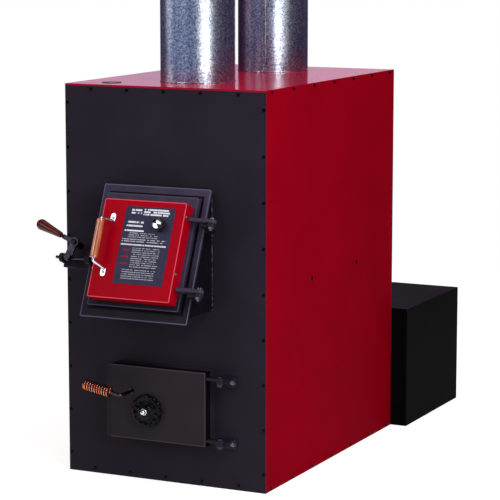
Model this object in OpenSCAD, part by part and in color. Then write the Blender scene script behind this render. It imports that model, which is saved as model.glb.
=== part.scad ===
// Warm air furnace for solid fuel: a sheet-steel cabinet round a welded firebox,
// with a slanted feed door, an ash door, two warm-air ducts and a rear blower.
// The origin is on the floor, under the middle of the cabinet. +Z is up, the doors face -Y.

/* [Cabinet] */
// Width of the cabinet across the front
body_w = 600; // [570:5:760]
// Depth of the cabinet from front panel to rear panel
body_d = 880; // [840:5:1000]
// Height of the cabinet from the floor to the top panel
body_h = 1070; // [1040:5:1300]
// Thickness of the cabinet sheet
sheet = 2; // [1.5:0.1:3]
// Width of the flanges that the panels are screwed to
flange_w = 24; // [21:1:32]
// Spacing of the screws along the top and bottom edges of the front and rear
row_pitch = 110; // [80:1:150]
// Spacing of the screws up the front and rear corners
column_pitch = 121; // [80:1:160]
// Spacing of the screws along the side panels
side_pitch = 135; // [90:1:180]
// Diameter of a panel screw's shank
screw_d = 4; // [3:0.5:5]
// Length of a panel screw under its head
screw_len = 10; // [7:1:14]
// Distance of a heat shield's front screw behind the front panel
shield_setback = 297; // [200:1:360]
// Distance between the two screws of a heat shield
shield_span = 313; // [200:1:380]
// Distance of a heat shield's ends from the flanges above and below it
shield_margin = 60; // [40:1:120]

/* [Ducts] */
// Outside diameter of a warm-air duct
duct_d = 204.5; // [150:0.5:230]
// Thickness of the duct sheet
duct_t = 1; // [0.6:0.1:1.6]
// Length of duct above the top panel
duct_len = 305; // [150:5:600]
// Distance of the front duct's centre behind the front panel
duct_setback = 224; // [200:1:260]
// Distance between the two duct centres
duct_pitch = 482; // [420:1:520]
// Sideways place of the ducts
duct_x = -12; // [-40:1:40]
// Depth of duct below the top panel
duct_tail = 32; // [20:1:50]

/* [Firebox] */
// Air space between the firebox and each side panel
jacket_gap = 98; // [76:1:110]
// Air space between the firebox and the front panel
front_gap = 53; // [45:1:70]
// Air space between the firebox and the rear panel
rear_gap = 138; // [100:1:180]
// Height of the warm-air space above the firebox
plenum_h = 168; // [130:1:220]
// Thickness of the firebox plate
plate_t = 6; // [5:0.5:8]
// Height of the firebox floor above the base pan
firebox_lift = 98; // [60:1:102]
// Height of the grate above the floor
grate_z = 345; // [335:1:370]
// Width of a firebrick
brick_w = 114; // [90:1:150]
// Height of a firebrick
brick_h = 229; // [180:1:240]
// Thickness of a firebrick
brick_t = 32; // [25:1:38]
// Gap for smoke between the front wall of the firebox and the baffle plate
baffle_gap = 200; // [180:1:240]
// Outside diameter of the flue collar
flue_d = 152.4; // [120:0.1:180]
// Distance that the flue collar stands out behind the cabinet
flue_reach = 60; // [40:1:90]

/* [Feed door] */
// Backward lean of the feed door
door_lean = 23.3; // [18:0.1:26]
// Distance of the frame's lower edge in front of the front panel
door_out = 165; // [160:1:200]
// Height of the frame's lower edge above the floor
door_z = 471; // [440:1:500]
// Sideways place of the feed chute
chute_x = -8; // [-12:1:20]
// Width of the opening in the feed door frame
feed_open_w = 240; // [200:1:250]
// Height of that opening along the slant
feed_open_h = 278; // [260:1:290]
// Width of the frame at the sides of the opening
frame_side = 39; // [36:1:45]
// Width of the frame above and below the opening
frame_end = 44; // [40:1:50]
// Thickness of the frame plate
frame_t = 8; // [6:0.5:12]
// Gap between the frame and the back of the door plate
door_gap = 10; // [8:0.5:14]
// Thickness of the door plate
door_t = 8; // [6:0.5:12]
// Overlap of the door plate round the opening
door_lap = 15; // [12:0.5:18]
// Depth of the red door cover in front of the door plate
cover_d = 40; // [36:1:50]
// Thickness of the door cover sheet
cover_t = 2; // [1.2:0.1:3]
// Opening angle of the feed door
feed_swing = 110; // [60:5:130]
// Distance of the hinge pin beside the frame
hinge_side = 35; // [30:1:45]
// Diameter of the hinge pins
pin_d = 10; // [8:0.5:12]
// Thickness of the hinge lugs
lug_t = 10; // [6:0.5:12]

/* [Pull and air control] */
// Diameter of the wooden grip
grip_d = 21; // [18:0.5:26]
// Length of the wooden grip
grip_len = 101; // [80:1:110]
// Diameter of the bail rod
bail_d = 8; // [6:0.5:9]
// Distance of the wooden grip in front of the door cover
grip_out = 38; // [34:1:60]
// Diameter of the air control knob
knob_d = 33; // [26:0.5:40]
// Height of the air control knob
knob_h = 25; // [18:0.5:32]
// Diameter of the air control shaft
knob_shaft_d = 8; // [6:0.5:10]

/* [Feed door latch] */
// Half of the angle that the latch lever turns through
latch_half = 14; // [8:0.5:16]
// Height of the latch pivot above the lower edge of the door plate, along the slant
latch_rise = 160; // [150:1:170]
// Distance from the latch pivot to the driving stud at rest
latch_arm = 42; // [38:0.5:50]
// Diameter of the latch bolt
bolt_d = 8; // [6:0.5:10]
// Height of the latch bolt's centre in front of the frame
bolt_out = 26; // [25:0.5:30]
// Length of the lever's grip
lever_grip_len = 86; // [60:1:110]
// Largest diameter of the lever's grip
lever_grip_d = 30; // [22:0.5:34]

/* [Ash door] */
// Sideways place of the ash door
ash_x = 7; // [-10:1:10]
// Height of the ash door's lower edge above the floor
ash_z = 124; // [124:1:130]
// Width of the ash door
ash_w = 286; // [270:1:300]
// Height of the ash door
ash_h = 200; // [196:1:204]
// Distance of the ash door frame in front of the front panel
ash_neck = 28; // [24:1:36]
// Depth of the ash door
ash_d = 30; // [26:1:36]
// Thickness of the ash door's face
ash_face = 8; // [6:0.5:10]
// Distance of the ash hinge pin beside the door
ash_hinge_side = 36; // [32:1:44]
// Opening angle of the ash door
ash_swing = 120; // [60:5:130]
// Diameter of the draft wheel over its lobes
wheel_d = 92; // [80:1:100]
// Number of lobes on the draft wheel
lobes = 12; // [6:1:16]
// Distance that the draft wheel screws out
draft_travel = 12; // [6:1:14]
// Diameter of the ash door's latch rod
rod_d = 9.5; // [8:0.5:12]
// Distance of the latch handle in front of the ash door
rod_out = 61; // [55:1:75]
// Length of the coiled grip
coil_len = 79; // [60:1:100]
// Outside diameter of the coiled grip
coil_d = 28; // [24:0.5:34]
// Diameter of the coil's wire
wire_d = 3.2; // [2.5:0.1:4]
// Number of turns of the coiled grip
coil_turns = 11; // [8:1:12]

/* [Blower] */
// Width of the blower box
blower_w = 700; // [660:1:760]
// Diameter of the blower wheel
fan_d = 228; // [180:1:250]
// Width of the blower housing
housing_w = 240; // [200:1:280]
// Growth of the housing's radius along its scroll
scroll_growth = 34.2; // [24:0.1:44]
// Length of the housing's outlet in front of its scroll
blower_throat = 79.2; // [60:0.1:120]
// Space under the blower housing
blower_floor_gap = 32; // [15:1:60]
// Space between the blower housing and the lid
blower_lid_gap = 26.2; // [8:0.1:60]
// Space between the blower housing and the channels of the filter
blower_rear_gap = 54.6; // [10:0.1:80]
// Number of blades on the blower wheel
blades = 32; // [20:1:40]
// Diameter of the motor
motor_d = 124; // [110:1:150]
// Length of the motor
motor_len = 112; // [95:1:125]
// Space between the air filter and each side of its box
filter_side_gap = 42.5; // [30:0.5:60]
// Space above the air filter
filter_top_gap = 43; // [30:1:60]
// Thickness of the air filter
filter_t = 19; // [12:1:25]

/* [Hidden] */
$fn = 48;

// Clearance between pieces that must not touch
gap = 0.3;
// Radial clearance of a pin or shaft in its bore
running = 0.05;
// Extra length that a cut runs past a face
past = 1;

// Colours, as the photograph shows them
red_paint = [0.62, 0.01, 0.06];
black_paint = [0.09, 0.08, 0.1];
iron_paint = [0.2, 0.18, 0.26];
bright_steel = [0.75, 0.75, 0.78];
galvanised = [0.62, 0.66, 0.72];
firebrick = [0.85, 0.72, 0.5];

// Cabinet faces, and the inside faces of its sheet
half_w = body_w / 2;
half_d = body_d / 2;
in_w = half_w - sheet;
in_d = half_d - sheet;

function spaced(span, pitch) =
    let (n = floor(span / pitch)) [for (i = [0 : n]) (i - n / 2) * pitch];

// Screw rows: distances of their centres from the panel edges
row_inset = sheet + flange_w / 2 - 1;
column_inset = sheet + 4.5;
side_inset = sheet + 5;
row_margin = 60;
column_margin = 45;
side_margin = 30;
end_screws = concat(
    [for (x = spaced(body_w - 2 * row_margin, row_pitch)) for (z = [row_inset, body_h - row_inset]) [x, z]],
    [for (x = [-1, 1]) for (z = spaced(body_h - 2 * column_margin, column_pitch))
        [x * (half_w - column_inset), body_h / 2 + z]]);
// The shields are held by two screws in each side panel
shield_front = -half_d + shield_setback;
shield_rear = shield_front + shield_span;
shield_screw_z = body_h / 2;
side_screws = concat(
    [for (y = spaced(body_d - 2 * side_margin, side_pitch))
        for (z = [side_inset, body_h - side_inset]) [y, z]],
    [[shield_front, shield_screw_z], [shield_rear, shield_screw_z]]);

// Ducts
duct_r = duct_d / 2;
duct_front_y = -half_d + duct_setback;
duct_rear_y = duct_front_y + duct_pitch;
// Round plug in the top panel
plug_r = 24;
plug_x = -200;
plug_y = -half_d + 80;

// Firebox box
fire_w = 2 * (in_w - jacket_gap);
fire_front = -in_d + front_gap;
fire_back = in_d - rear_gap;
fire_bottom = sheet + firebox_lift;
fire_top = body_h - sheet - plenum_h;
flue_z = fire_top - flue_d / 2 - 2;
flue_r = flue_d / 2;
flue_wall = 3;
ledge_w = brick_t + 22;
baffle_z = flue_z - flue_r - 16;
rail_gap = 0.8 * baffle_gap;
brick_joint = 0.4;

// Feed door, measured in the slanted plane from the middle of the frame's lower edge
slant_y = -half_d - door_out;
frame_w = feed_open_w + 2 * frame_side;
frame_h = feed_open_h + 2 * frame_end;
chute_inset = 6;
chute_wall = 6;
chute_w = frame_w - 2 * chute_inset;
chute_bottom = door_z + 12;
chute_top = door_z + frame_h * cos(door_lean) - 8;
rim_t = 4;
rim_h = door_gap - 4;
gasket_w = 10;
door_shift = 2;
door_w = feed_open_w + 2 * door_lap;
door_h = feed_open_h + 2 * door_lap;
door_left = door_shift - door_w / 2;
door_right = door_shift + door_w / 2;
door_low = frame_end - door_lap;
plate_face = door_gap + door_t;
cover_left = door_left + 18;
cover_right = door_right - 10;
cover_low = door_low + 13;
cover_high = door_low + door_h - 27;
cover_face = plate_face + cover_d;
label_t = 1;
label_left = cover_left + 68;
label_right = cover_right - 28.5;
label_low = cover_low + 41;
label_high = cover_high - 17;
// Hinge: the pin stands beside the frame, and its lugs lie one on the other
hinge_x = frame_w / 2 + hinge_side;
lug_r = 12;
hinge_out = plate_face + lug_r;
pin_r = pin_d / 2;
lug_low = cover_low + 42;
lug_high = cover_high - 38;
lug_places = [lug_low, lug_high];
cover_screw_out = cover_face - 8;
cover_screw_places = [lug_low + 37, lug_high + 3];
// Pull
tab_x = cover_left + 35;
tab_t = 3;
tab_w = 14;
tab_len = 24;
grip_x = tab_x - 15.5;
grip_mid = cover_low + 146;
bail_r = bail_d / 2;
bail_bend_r = 7;
bail_bend = grip_len / 2 + bail_r + 3;
tab_high = grip_mid + bail_bend + 12;
tab_low = grip_mid - bail_bend - 20;
// Air control
knob_x = label_right - 35;
knob_z = label_high - 49;
knob_shaft_r = knob_shaft_d / 2;
knob_face = cover_face + label_t + gap + knob_h;
port_r = 9;
port_ring = 22;

// Feed door latch
latch_x = -frame_w / 2 - 37;
latch_z = door_low + latch_rise;
latch_drop = latch_arm * cos(latch_half);
latch_travel = 2 * latch_drop * tan(latch_half);
bolt_r = bolt_d / 2;
bolt_z = latch_z - latch_drop;
stud_x = latch_x - latch_drop * tan(latch_half);
bolt_tip = door_left - 5.5;
bolt_len = 110;
post_w = 12;
guide_x = -frame_w / 2 + 2;
guide_len = 16;
ear_x = latch_x - 39;
ear_len = 10;
lever_back = bolt_out + bolt_r + 4;
lever_t = 6;
lever_angle = 159;
grip_start = 46;
lever_rod_r = 4;
stud_r = 4;
slot_r = stud_r + 0.6;
pivot_r = 5;

// Ash door, measured from the front panel
ash_left = ash_x - ash_w / 2;
ash_right = ash_x + ash_w / 2;
ash_top = ash_z + ash_h;
ash_wall = 6;
ash_back_y = -half_d - ash_neck;
ash_front_y = ash_back_y - ash_d;
ash_plate_back = ash_front_y + ash_face;
ash_gasket_w = 10;
ash_gasket_d = 16;
knife_t = 4;
knife_inset = ash_wall + ash_gasket_w - 1;
knife_y = ash_plate_back + ash_gasket_d + gap;
ash_hinge_x = ash_right + ash_hinge_side;
ash_hinge_y = ash_front_y + 16;
ash_lug_t = 8;
ash_lugs = [ash_z + 11, ash_top - 21];
rod_x = ash_x - 78;
rod_z = ash_top - 69;
rod_r = rod_d / 2;
handle_tilt = 11;
cam_len = 45;
cam_w = 16;
cam_t = 8;
catch_t = 5;
cam_front = knife_y + catch_t + gap;
handle_y = ash_front_y - rod_out;
coil_start = 34;
handle_len = coil_start + coil_len + 4;
// Draft wheel
draft_x = ash_x - 27;
draft_z = ash_z + 84;
draft_bolt_r = 5;
draft_hole_r = 8;
draft_ring = 27;
draft_nut_t = 6;
lobe_r = 9;
wheel_t = 26;

// Blower: the housing's radius shrinks steadily round its scroll, and the box is built round it
fan_r = fan_d / 2;
scroll_wall = 1.5;
scroll_turn = 285;
scroll_min = fan_r + 10;
scroll_max = scroll_min + scroll_growth;
function scroll_r(angle) = scroll_max - scroll_growth * angle / scroll_turn;
box_y = half_d;
fan_y = box_y + blower_throat + scroll_r(270);
fan_z = sheet + blower_floor_gap + scroll_r(180);
channel_t = 2;
channel_lip = 2;
filter_slack = 2;
filter_front = fan_y + scroll_r(90) + blower_rear_gap + channel_t + channel_lip;
filter_back = filter_front + filter_t;
box_back = filter_back + filter_slack + sheet;
blower_d = box_back - box_y;
blower_h = fan_z + scroll_max + blower_lid_gap + sheet;
filter_w = blower_w - 2 * filter_side_gap;
filter_h = blower_h - 2 * sheet - filter_top_gap;
inlet_r = fan_r - 26;
fan_w = housing_w - 2 * scroll_wall - 16;
hub_r = 16;
hub_from = -30;
hub_to = 10;
motor_r = motor_d / 2;
motor_x = hub_to + 16;
motor_shaft_r = 6.35;
motor_shaft_in = 29;
outlet_high = fan_z + scroll_max - scroll_wall;
outlet_low = fan_z + scroll_min * cos(scroll_turn) + scroll_wall;

// Shapes used by several pieces

// Rectangle with round corners, from its lower left corner
module round_rect(w, h, r) {
    translate([r, 0]) square([w - 2 * r, h]);
    translate([0, r]) square([w, h - 2 * r]);
    for (x = [r, w - r]) for (y = [r, h - r]) translate([x, y]) circle(r);
}

// Straight band with round ends, from the origin along +X
module band(len, r) {
    circle(r);
    translate([0, -r]) square([len, 2 * r]);
    translate([len, 0]) circle(r);
}

// Round rod between two points
module rod(from, to, r) {
    d = to - from;
    translate(from) rotate([0, acos(d[2] / norm(d)), atan2(d[1], d[0])]) cylinder(h = norm(d), r = r);
}

function unit(v) = v / norm(v);

// Length that a bend takes from the straight before or after it
function bend_back(p, i, bend_r) = i == 0 || i == len(p) - 1 ? 0
    : bend_r * tan(acos(unit(p[i] - p[i - 1]) * unit(p[i + 1] - p[i])) / 2) - 0.3;

// Round rod through a list of points, with a true bend at each inner one
module bent_rod(p, r, bend_r) {
    for (i = [1 : len(p) - 1]) {
        along = unit(p[i] - p[i - 1]);
        rod(p[i - 1] + bend_back(p, i - 1, bend_r) * along, p[i] - bend_back(p, i, bend_r) * along, r);
    }
    for (i = [1 : 1 : len(p) - 2]) {
        into = unit(p[i] - p[i - 1]);
        out = unit(p[i + 1] - p[i]);
        inside = unit(out - (into * out) * into);
        side = cross(-inside, into);
        centre = p[i] - bend_r * tan(acos(into * out) / 2) * into + bend_r * inside;
        multmatrix([[-inside[0], into[0], side[0], centre[0]], [-inside[1], into[1], side[1], centre[1]],
            [-inside[2], into[2], side[2], centre[2]], [0, 0, 0, 1]])
            rotate_extrude(angle = acos(into * out)) translate([bend_r, 0]) circle(r + 0.02);
    }
}

// A drawing seen from the front, standing from one distance in front of its plane to another
module facing(from, to) {
    translate([0, -from, 0]) rotate([90, 0, 0]) linear_extrude(to - from) children();
}

// A round bar that stands out towards the front at one place of a drawing
module stud(x, z, r, from, to) {
    translate([x, -from, z]) rotate([90, 0, 0]) cylinder(h = to - from, r = r);
}

// Places a piece in the slanted plane of the feed door
module on_slant() {
    translate([chute_x, slant_y, door_z]) rotate([-door_lean, 0, 0]) children();
}

// Rectangular tube along Y
module tube_y(x, z, w, h, wall, from, to) {
    difference() {
        translate([x - w / 2, from, z]) cube([w, to - from, h]);
        translate([x - w / 2 + wall, from - past, z + wall])
            cube([w - 2 * wall, to - from + 2 * past, h - 2 * wall]);
    }
}

// Sheet-metal screw at the origin, its head towards +Z
module sheet_screw() {
    translate([0, 0, -screw_len]) cylinder(h = screw_len, d = screw_d);
    cylinder(h = screw_d / 4, d = 2.1 * screw_d);
    cylinder(h = 0.85 * screw_d, d = 1.7 * screw_d, $fn = 6);
}

// Turns a screw from +Z towards the front, rear, left or right
module to_front() { rotate([90, 0, 0]) children(); }
module to_rear() { rotate([-90, 0, 0]) children(); }
module to_right() { rotate([0, 90, 0]) children(); }
module to_left() { rotate([0, -90, 0]) children(); }

screw_hole_r = screw_d / 2 + 0.1;

module end_holes() {
    for (p = end_screws) translate(p) circle(screw_hole_r);
}

module end_hole_bars() {
    for (p = end_screws)
        translate([p[0], -half_d - past, p[1]]) rotate([-90, 0, 0])
            cylinder(h = body_d + 2 * past, r = screw_hole_r);
}

module side_hole_bars() {
    for (p = side_screws)
        translate([-half_w - past, p[0], p[1]]) rotate([0, 90, 0])
            cylinder(h = body_w + 2 * past, r = screw_hole_r);
}

// Cabinet

// Shallow pan with four upright flanges, drawn with its sheet at the bottom
module flanged_pan() {
    difference() {
        translate([-in_w, -in_d, 0]) cube([2 * in_w, 2 * in_d, sheet + flange_w]);
        translate([-in_w + sheet, -in_d + sheet, sheet])
            cube([2 * (in_w - sheet), 2 * (in_d - sheet), flange_w + past]);
    }
}

module base_pan() {
    color(black_paint) difference() {
        flanged_pan();
        end_hole_bars();
        side_hole_bars();
    }
}

module top_panel() {
    color(red_paint) difference() {
        translate([0, 0, body_h]) mirror([0, 0, 1]) flanged_pan();
        end_hole_bars();
        side_hole_bars();
        for (y = [duct_front_y, duct_rear_y])
            translate([duct_x, y, body_h - sheet - past]) cylinder(h = sheet + 2 * past, r = duct_r + 0.2);
        translate([plug_x, plug_y, body_h - sheet - past]) cylinder(h = sheet + 2 * past, r = plug_r);
    }
}

module front_panel() {
    color(black_paint) translate([0, -in_d, 0]) rotate([90, 0, 0]) linear_extrude(sheet) difference() {
        translate([-half_w, 0]) square([body_w, body_h]);
        end_holes();
        translate([chute_x - chute_w / 2 - gap, chute_bottom - gap])
            square([chute_w + 2 * gap, chute_top - chute_bottom + 2 * gap]);
        translate([ash_left - gap, ash_z - gap]) square([ash_w + 2 * gap, ash_h + 2 * gap]);
        for (z = ash_lugs) translate([ash_bolt_x, z - ash_lug_t]) circle(ash_bolt_r + 0.1);
    }
}

module rear_panel() {
    color(black_paint) translate([0, half_d, 0]) rotate([90, 0, 0]) linear_extrude(sheet) difference() {
        translate([-half_w, 0]) square([body_w, body_h]);
        end_holes();
        translate([0, flue_z]) circle(flue_r + 1);
        translate([-housing_w / 2, outlet_low]) square([housing_w, outlet_high - outlet_low]);
    }
}

// Side panel with turned-in flanges at the front and rear
module side_panel() {
    color(red_paint) difference() {
        union() {
            translate([in_w, -in_d, 0]) cube([sheet, 2 * in_d, body_h]);
            for (y = [-in_d, in_d - sheet])
                translate([in_w - flange_w, y, sheet + flange_w + gap])
                    cube([flange_w + sheet / 2, sheet, body_h - 2 * (sheet + flange_w + gap)]);
        }
        end_hole_bars();
        side_hole_bars();
    }
}

module right_side_panel() { side_panel(); }

module left_side_panel() { mirror([1, 0, 0]) side_panel(); }

module cabinet_screws() {
    color(black_paint) {
        for (p = end_screws) {
            translate([p[0], -half_d, p[1]]) to_front() sheet_screw();
            translate([p[0], half_d, p[1]]) to_rear() sheet_screw();
        }
        for (p = side_screws) {
            translate([half_w, p[0], p[1]]) to_right() sheet_screw();
            translate([-half_w, p[0], p[1]]) to_left() sheet_screw();
        }
    }
}

module top_hole_plug() {
    color(black_paint) translate([plug_x, plug_y, body_h]) rotate_extrude()
        polygon([[0, 0.5], [0, 1.6], [plug_r + 2, 1.6], [plug_r + 4, 0], [plug_r - 0.1, 0],
            [plug_r - 0.1, -sheet], [plug_r + 0.4, -sheet - 1.2], [plug_r - 1.2, -sheet - 5],
            [plug_r - 1.6, -sheet - 5], [plug_r - 1.6, 0.5]]);
}

// Hat-section shield that keeps the firebox's heat from a side panel
shield_off = 20;
shield_foot = 30;
shield_t = 1.5;
module heat_shields() {
    low = sheet + flange_w + shield_margin;
    high = body_h - sheet - flange_w - shield_margin;
    color(galvanised) for (side = [0, 1]) mirror([side, 0, 0]) difference() {
        translate([0, 0, low]) linear_extrude(high - low) {
            for (y = [shield_front - shield_foot / 2, shield_rear - shield_foot / 2])
                translate([in_w - shield_t, y]) square([shield_t, shield_foot]);
            translate([in_w - shield_off, shield_front + shield_foot / 2 - shield_t])
                square([shield_off, shield_t]);
            translate([in_w - shield_off, shield_rear - shield_foot / 2]) square([shield_off, shield_t]);
            translate([in_w - shield_off, shield_front + shield_foot / 2 - shield_t])
                square([shield_t, shield_rear - shield_front - shield_foot + 2 * shield_t]);
        }
        side_hole_bars();
    }
}

// Ducts

// Collar under the top panel, which holds the foot of a duct
module duct_collar() {
    rotate_extrude() {
        translate([duct_r + 0.1, -duct_tail]) square([1, duct_tail]);
        translate([duct_r + 0.1, -1.2]) square([14, 1.2]);
    }
}

module duct_collars() {
    color(galvanised) for (y = [duct_front_y, duct_rear_y])
        translate([duct_x, y, body_h - sheet]) duct_collar();
}

// Plain duct with a stop bead that sits on the top panel, and a folded seam
module duct(seam_angle) {
    seam_w = 7;
    bead = 1.2;
    translate([duct_x, 0, body_h]) {
        rotate_extrude($fn = 96) {
            translate([duct_r - duct_t, -duct_tail]) square([duct_t, duct_tail + duct_len]);
            translate([duct_r - duct_t / 2, 0]) square([duct_t / 2 + bead, 3]);
        }
        rotate([0, 0, seam_angle - 90]) translate([duct_r - duct_t / 2, -seam_w / 2, 0])
            cube([duct_t / 2 + bead, seam_w, duct_len]);
    }
}

module front_duct() {
    color(galvanised) translate([0, duct_front_y, 0]) duct(-165);
}

module rear_duct() {
    color(galvanised) translate([0, duct_rear_y, 0]) duct(54);
}

// Firebox

module firebox_body() {
    leg = 40;
    ledge_t = 6;
    color(black_paint) {
        difference() {
            translate([-fire_w / 2, fire_front, fire_bottom])
                cube([fire_w, fire_back - fire_front, fire_top - fire_bottom]);
            difference() {
                translate([-fire_w / 2 + plate_t, fire_front + plate_t, fire_bottom + plate_t])
                    cube([fire_w - 2 * plate_t, fire_back - fire_front - 2 * plate_t,
                        fire_top - fire_bottom - 2 * plate_t]);
                // Ledge round the walls for the bricks and the grate
                difference() {
                    translate([-fire_w / 2, fire_front, grate_z - ledge_t])
                        cube([fire_w, fire_back - fire_front, ledge_t]);
                    translate([-fire_w / 2 + plate_t + ledge_w, fire_front + plate_t + ledge_w,
                        grate_z - ledge_t - past])
                        cube([fire_w - 2 * (plate_t + ledge_w),
                            fire_back - fire_front - 2 * (plate_t + ledge_w), ledge_t + 2 * past]);
                }
                // Rails under the baffle
                for (x = [-fire_w / 2, fire_w / 2 - plate_t - 20])
                    translate([x, fire_front + rail_gap, baffle_z - plate_t])
                        cube([plate_t + 20, fire_back - fire_front - rail_gap, plate_t]);
            }
            translate([chute_x - chute_w / 2 + chute_wall, fire_front - past, chute_bottom + chute_wall])
                cube([chute_w - 2 * chute_wall, plate_t + 2 * past,
                    chute_top - chute_bottom - 2 * chute_wall]);
            translate([ash_left + ash_wall, fire_front - past, ash_z + ash_wall])
                cube([ash_w - 2 * ash_wall, plate_t + 2 * past, ash_h - 2 * ash_wall]);
            translate([0, fire_back - plate_t - past, flue_z]) rotate([-90, 0, 0])
                cylinder(h = plate_t + 2 * past, r = flue_r + running);
        }
        // Angle-iron legs that stand on the base pan
        for (sx = [-1, 1]) for (y = [fire_front, fire_back - leg])
            translate([sx * (fire_w / 2 - leg / 2) - leg / 2, y, sheet]) difference() {
                cube([leg, leg, firebox_lift + 0.5]);
                translate([sx > 0 ? -past : 5, y > 0 ? -past : 5, -past])
                    cube([leg - 5 + past, leg - 5 + past, firebox_lift + past]);
            }
    }
}

// One course of bricks along each wall, cut to fill it
module firebricks() {
    side_x = fire_w / 2 - plate_t - brick_t;
    side_end = fire_back - plate_t - brick_t - brick_joint;
    side_run = side_end - fire_front - plate_t;
    side_count = ceil(side_run / (brick_w + brick_joint));
    back_count = ceil(2 * side_x / (brick_w + brick_joint));
    course_pitch = side_run / side_count;
    back_pitch = 2 * side_x / back_count;
    color(firebrick) {
        for (i = [1 : side_count]) for (x = [-side_x - brick_t, side_x])
            translate([x, side_end - i * course_pitch + brick_joint, grate_z])
                cube([brick_t, course_pitch - brick_joint, brick_h]);
        for (i = [0 : back_count - 1])
            translate([-side_x + i * back_pitch + brick_joint / 2, fire_back - plate_t - brick_t, grate_z])
                cube([back_pitch - brick_joint, brick_t, brick_h]);
    }
}

module fire_grate() {
    inset = plate_t + brick_t + 3;
    w = fire_w - 2 * inset;
    d = fire_back - fire_front - plate_t - 3 - inset;
    slot_pitch = 34;
    slots = floor((d - 60) / slot_pitch);
    color(black_paint) translate([-w / 2, fire_front + plate_t + 3, grate_z])
        linear_extrude(16) difference() {
        square([w, d]);
        for (i = [0 : slots - 1]) for (x = [30, w / 2 + 8])
            translate([x, (d - (slots - 1) * slot_pitch) / 2 + i * slot_pitch - 9])
                square([w / 2 - 38, 18]);
    }
}

pan_w = ash_w - 2 * knife_inset - 2 * knife_t - 14;
pan_h = 90;
pan_d = 430;
module ash_pan() {
    wall = 1.5;
    color(black_paint) translate([ash_x - pan_w / 2, fire_front + plate_t + 12, fire_bottom + plate_t])
        difference() {
            cube([pan_w, pan_d, pan_h]);
            translate([wall, wall, wall]) cube([pan_w - 2 * wall, pan_d - 2 * wall, pan_h]);
        }
}

module baffle_plate() {
    color(black_paint) translate([-fire_w / 2 + plate_t + 1, fire_front + baffle_gap, baffle_z])
        cube([fire_w - 2 * plate_t - 2, fire_back - fire_front - baffle_gap - plate_t - 1, plate_t]);
}

module flue_collar() {
    color(black_paint) translate([0, fire_back - plate_t, flue_z]) rotate([-90, 0, 0])
        rotate_extrude($fn = 72) translate([flue_r - flue_wall, 0])
            square([flue_wall, half_d + flue_reach - fire_back + plate_t]);
}

// Feed door frame and chute

module feed_chute() {
    color(iron_paint) difference() {
        tube_y(chute_x, chute_bottom, chute_w, chute_top - chute_bottom, chute_wall, slant_y, fire_front);
        on_slant() translate([-frame_w, -3 * frame_h, -frame_h])
            cube([2 * frame_w, 3 * frame_h + frame_t, 4 * frame_h]);
    }
}

module feed_door_frame() {
    color(iron_paint) on_slant() {
        facing(-frame_t, 0) difference() {
            translate([-frame_w / 2, 0]) round_rect(frame_w, frame_h, 3);
            translate([-feed_open_w / 2, frame_end]) square([feed_open_w, feed_open_h]);
        }
        facing(-frame_t / 2, rim_h) difference() {
            translate([-feed_open_w / 2 - rim_t, frame_end - rim_t])
                square([feed_open_w + 2 * rim_t, feed_open_h + 2 * rim_t]);
            translate([-feed_open_w / 2, frame_end]) square([feed_open_w, feed_open_h]);
        }
    }
}

module feed_hinge_brackets() {
    edge = frame_w / 2;
    wall = chute_w / 2;
    color(iron_paint) on_slant() for (z = lug_places)
        translate([0, 0, z - 1.5 * lug_t - gap]) linear_extrude(lug_t) difference() {
            union() {
                polygon([[edge, -hinge_out], [edge, frame_t + gap], [wall, frame_t + gap],
                    [wall, frame_t + 32], [wall + 18, frame_t + 32], [hinge_x + lug_r, -hinge_out]]);
                translate([hinge_x, -hinge_out]) circle(lug_r);
            }
            translate([hinge_x, -hinge_out]) circle(pin_r + running);
        }
}

module feed_hinge_pins() {
    color(bright_steel) on_slant() for (z = lug_places) translate([hinge_x, -hinge_out, z]) {
        translate([0, 0, -1.5 * lug_t - 10]) cylinder(h = 2 * lug_t + 10 + gap, r = pin_r);
        translate([0, 0, lug_t / 2 + gap]) cylinder(h = 4, r = pin_r + 3);
        translate([0, 0, -1.5 * lug_t - gap - 6]) cylinder(h = 6, r = pin_r + 4, $fn = 6);
    }
}

// Feed door

module door_outline(grow) {
    translate([door_left - grow, door_low - grow]) round_rect(door_w + 2 * grow, door_h + 2 * grow, 4);
}

tab_plate_t = 2.5;
module feed_door_plate() {
    color(iron_paint) on_slant() {
        facing(door_gap, plate_face) difference() {
            door_outline(0);
            translate([knob_x, knob_z]) {
                circle(knob_shaft_r + running);
                for (a = [45 : 90 : 315]) rotate(a) translate([port_ring, 0]) circle(port_r);
            }
        }
        // Tabs that the cover is screwed to
        for (z = cover_screw_places)
            for (x = [cover_left + cover_t + 0.1, cover_right - cover_t - 0.1 - tab_plate_t]) difference() {
                translate([x, -cover_face + cover_t + gap, z - 8])
                    cube([tab_plate_t, cover_d - cover_t - gap + 1, 16]);
                translate([x - past, -cover_screw_out, z]) rotate([0, 90, 0])
                    cylinder(h = tab_plate_t + 2 * past, r = screw_hole_r);
            }
    }
}

module feed_door_gasket() {
    inner_w = feed_open_w + 1;
    inner_h = feed_open_h + 1;
    color([0.75, 0.74, 0.7]) on_slant() facing(rim_h + gap, door_gap) difference() {
        translate([-inner_w / 2 - gasket_w, frame_end - 0.5 - gasket_w])
            round_rect(inner_w + 2 * gasket_w, inner_h + 2 * gasket_w, 6);
        translate([-inner_w / 2, frame_end - 0.5]) square([inner_w, inner_h]);
    }
}

module feed_door_shield() {
    shield_gap = 14;
    standoff = 34;
    w = feed_open_w - 2 * shield_gap;
    h = feed_open_h - 2 * shield_gap;
    color(black_paint) on_slant() {
        facing(-16, -13) translate([-w / 2, frame_end + shield_gap]) round_rect(w, h, 5);
        for (x = [-w / 2 + standoff, w / 2 - standoff])
            for (z = [frame_end + shield_gap + standoff, frame_end + feed_open_h - shield_gap - standoff])
                stud(x, z, 6, -14, door_gap);
    }
}

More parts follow.
